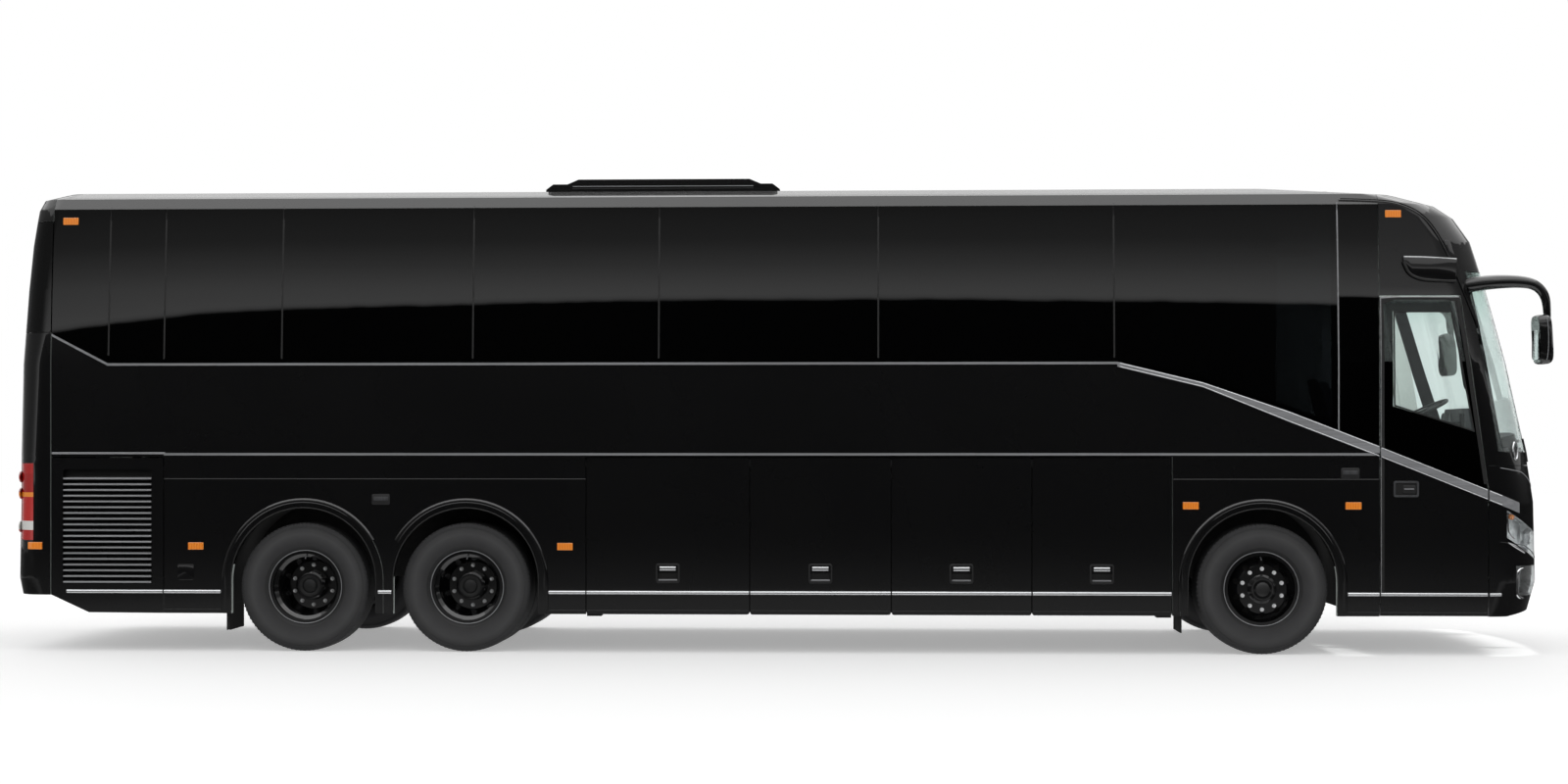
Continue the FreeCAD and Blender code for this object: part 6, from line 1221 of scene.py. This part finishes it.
for number, faces in enumerate(islands(seats)):
    corners = [vertex.co for face in faces for vertex in seats.faces[face].verts]
    low = [min(c[i] for c in corners) for i in range(3)]
    high = [max(c[i] for c in corners) for i in range(3)]
    x, ground = low[0] + 0.17, low[2]
    width = high[1] - low[1]
    middles = [low[1] + width * share for share in ((0.25, 0.75) if width > 0.6 else (0.5,))]
    row = f"{round((low[0] + 6) * 100):04d}_{'left' if high[1] > 0 else 'right'}"
    if width < 0.6:
        row = "driver"
    lean = Matrix.Rotation(math.atan2(-0.17, 0.68), 4, "Y")
    pads(f"squab_{row}", squab, [Matrix.Translation((x + 0.295, y, ground + 0.392)) for y in middles])
    pads(f"seat_back_{row}", back,
         [Matrix.Translation((x - 0.026, y, ground + 0.785)) @ lean for y in middles])
    steel_box(frames, (x + 0.10, low[1] + 0.01, ground + 0.318), (x + 0.46, high[1] - 0.01, ground + 0.332))
    steel_box(frames, (x - 0.004, low[1] + 0.008, ground + 0.40),
              (x + 0.006, high[1] - 0.008, ground + 1.12), -0.168)
    for y in middles:
        steel_box(frames, (x + 0.22, y - 0.03, ground + 0.001), (x + 0.28, y + 0.03, ground + 0.32))
seats.free()
place_piece(shaded(frames, "seat_frames", seat_shell, 30), "coach", "black_plastic", "seats")

# Floor, backdrop and light: a pale floor in a white studio. The coach mirrors a dark wall, a glow on the
# floor and a soft light overhead, which only its reflections see, and a lamp in the cab stands for daylight
# from the far side.
world = bpy.data.worlds.new("white_studio")
bpy.context.scene.world = world
world.use_nodes = True
tree = world.node_tree
rays = node(tree, "ShaderNodeLightPath")
seen = node(tree, "ShaderNodeMath", {"operation": "MAXIMUM"}, i0=rays.outputs["Is Camera Ray"],
            i1=rays.outputs["Is Glossy Ray"])
seen = node(tree, "ShaderNodeMath", {"operation": "MAXIMUM"}, i0=seen.outputs[0],
            i1=rays.outputs["Is Transmission Ray"])
strength = node(tree, "ShaderNodeMapRange", Value=seen.outputs[0], To_Min=0.75, To_Max=1.0)
background = tree.nodes["Background"]
background.inputs["Color"].default_value = (1, 1, 1, 1)
tree.links.new(strength.outputs["Result"], background.inputs["Strength"])


def glowing(name, stops, bowed=False):
    """A stage surface of its own light only, whose strength follows stops of (level in metres, power)."""
    made = bpy.data.materials.new(name)
    made.use_nodes = True
    tree = made.node_tree
    tree.nodes.remove(tree.nodes["Principled BSDF"])
    place = node(tree, "ShaderNodeSeparateXYZ", Vector=node(tree, "ShaderNodeTexCoord").outputs["Object"])
    level = place.outputs["Z"]
    if bowed:
        # The mirrored edge sags toward the coach's ends, and quickly behind its rear axles.
        for turn, start, sag in ((1.0, 0.0, 0.0044), (-1.0, -11.5, 0.0218)):
            away = node(tree, "ShaderNodeMath", {"operation": "MULTIPLY_ADD"}, i0=place.outputs["X"], i1=turn,
                        i2=start)
            if turn < 0:
                away = node(tree, "ShaderNodeMath", {"operation": "MAXIMUM"}, i0=away.outputs[0], i1=0.0)
            away = node(tree, "ShaderNodeMath", {"operation": "MULTIPLY"}, i0=away.outputs[0],
                        i1=away.outputs[0])
            level = node(tree, "ShaderNodeMath", {"operation": "MULTIPLY_ADD"}, i0=away.outputs[0], i1=sag,
                         i2=level).outputs[0]
    low, high = stops[0][0], stops[-1][0]
    share = node(tree, "ShaderNodeMapRange", Value=level, From_Min=low, From_Max=high)
    ramp = node(tree, "ShaderNodeValToRGB", Fac=share.outputs["Result"])
    for number, (height, power) in enumerate(stops):
        place = (height - low) / (high - low)
        stop = ramp.color_ramp.elements[number] if number < 2 else ramp.color_ramp.elements.new(place)
        stop.position = place
        stop.color = (power, power, power, 1)
    light = node(tree, "ShaderNodeEmission", Color=ramp.outputs["Color"], Strength=1.0)
    tree.links.new(light.outputs["Emission"], tree.nodes["Material Output"].inputs["Surface"])
    return made


def only_mirrored(shell, name, material):
    """A stage surface that the camera and the soft light don't see."""
    mesh = bpy.data.meshes.new(name)
    shell.to_mesh(mesh)
    shell.free()
    mesh.materials.append(material)
    made = bpy.data.objects.new(name, mesh)
    bpy.context.scene.collection.objects.link(made)
    for ray in ("camera", "diffuse", "transmission", "volume_scatter", "shadow"):
        setattr(made, "visible_" + ray, False)


wall_radius = 30.0


def wall(name, low, high, material):
    """A round wall of the stage."""
    shell = bmesh.new()
    ring = bmesh.ops.create_circle(shell, segments=96, radius=wall_radius)["verts"]
    bmesh.ops.translate(shell, verts=ring, vec=(0, 0, low))
    pulled = bmesh.ops.extrude_edge_only(shell, edges=list(shell.edges))["geom"]
    top = [item for item in pulled if isinstance(item, bmesh.types.BMVert)]
    bmesh.ops.translate(shell, verts=top, vec=(0, 0, high - low))
    only_mirrored(shell, name, material)


wall("studio_dark_wall", 0.0, 13.0, glowing("dark_wall", [
    (0.0, 0.01), (7.78, 0.015), (7.82, 1.05), (9.16, 0.60), (10.28, 0.31), (11.7, 0.17), (20.0, 0.14)], True))
wall("studio_floor_glow", -25.0, 0.0, glowing("floor_glow", [
    (-25.0, 0.03), (-3.0, 0.06), (-1.9, 0.34), (-1.5, 0.29), (-1.26, 0.13), (-0.76, 0.06), (-0.43, 0.028),
    (0.0, 0.01)]))
shell = bmesh.new()
bmesh.ops.create_grid(shell, x_segments=1, y_segments=1, size=30.0)
bmesh.ops.translate(shell, verts=shell.verts, vec=(0, 0, 30))
only_mirrored(shell, "studio_softbox", glowing("softbox", [(0.0, 2.3), (20.0, 2.3)]))

lamp_data = bpy.data.lights.new("cab_ceiling_lamp", "AREA")
lamp_data.size = 0.5
lamp_data.energy = 45.0
lamp = bpy.data.objects.new("cab_ceiling_lamp", lamp_data)
bpy.context.scene.collection.objects.link(lamp)
lamp.location = (5.35, -0.35, 3.10)
lamp.rotation_euler = (math.radians(40), 0, math.radians(-25))
lamp.visible_camera = False
lamp.visible_glossy = False
lamp.visible_transmission = False

focal_pixels, picture_width, sensor_width = 2225.6, 1600, 36.0
camera_data = bpy.data.cameras.new("camera")
camera = bpy.data.objects.new("camera", camera_data)
bpy.context.scene.collection.objects.link(camera)
camera.location = (0.7925, -19.3, 1.7)
camera.rotation_euler = (math.radians(90), 0, math.radians(2.2))
camera_data.sensor_width = sensor_width
camera_data.lens = focal_pixels / picture_width * sensor_width
camera_data.shift_y = 0.0355
camera_data.clip_end = 500.0
bpy.context.scene.camera = camera
bpy.context.scene.view_settings.view_transform = "Standard"

floor_paint, tree, shader = finish_of("matt_white_floor", Base_Color=linear("#f4f4f4"), Roughness=0.9,
                                      Emission_Color=(1, 1, 1, 1), Emission_Strength=0.34)
# Matt studio paint, rolled on and lit from below: white to the camera, keeping a soft shadow.
bpy.ops.mesh.primitive_plane_add(size=1)
floor = bpy.context.object
floor.name = "studio_floor"
floor.data.transform(Matrix.Diagonal((120, 120, 1, 1)))
floor.data.materials.append(floor_paint)
floor.visible_glossy = False
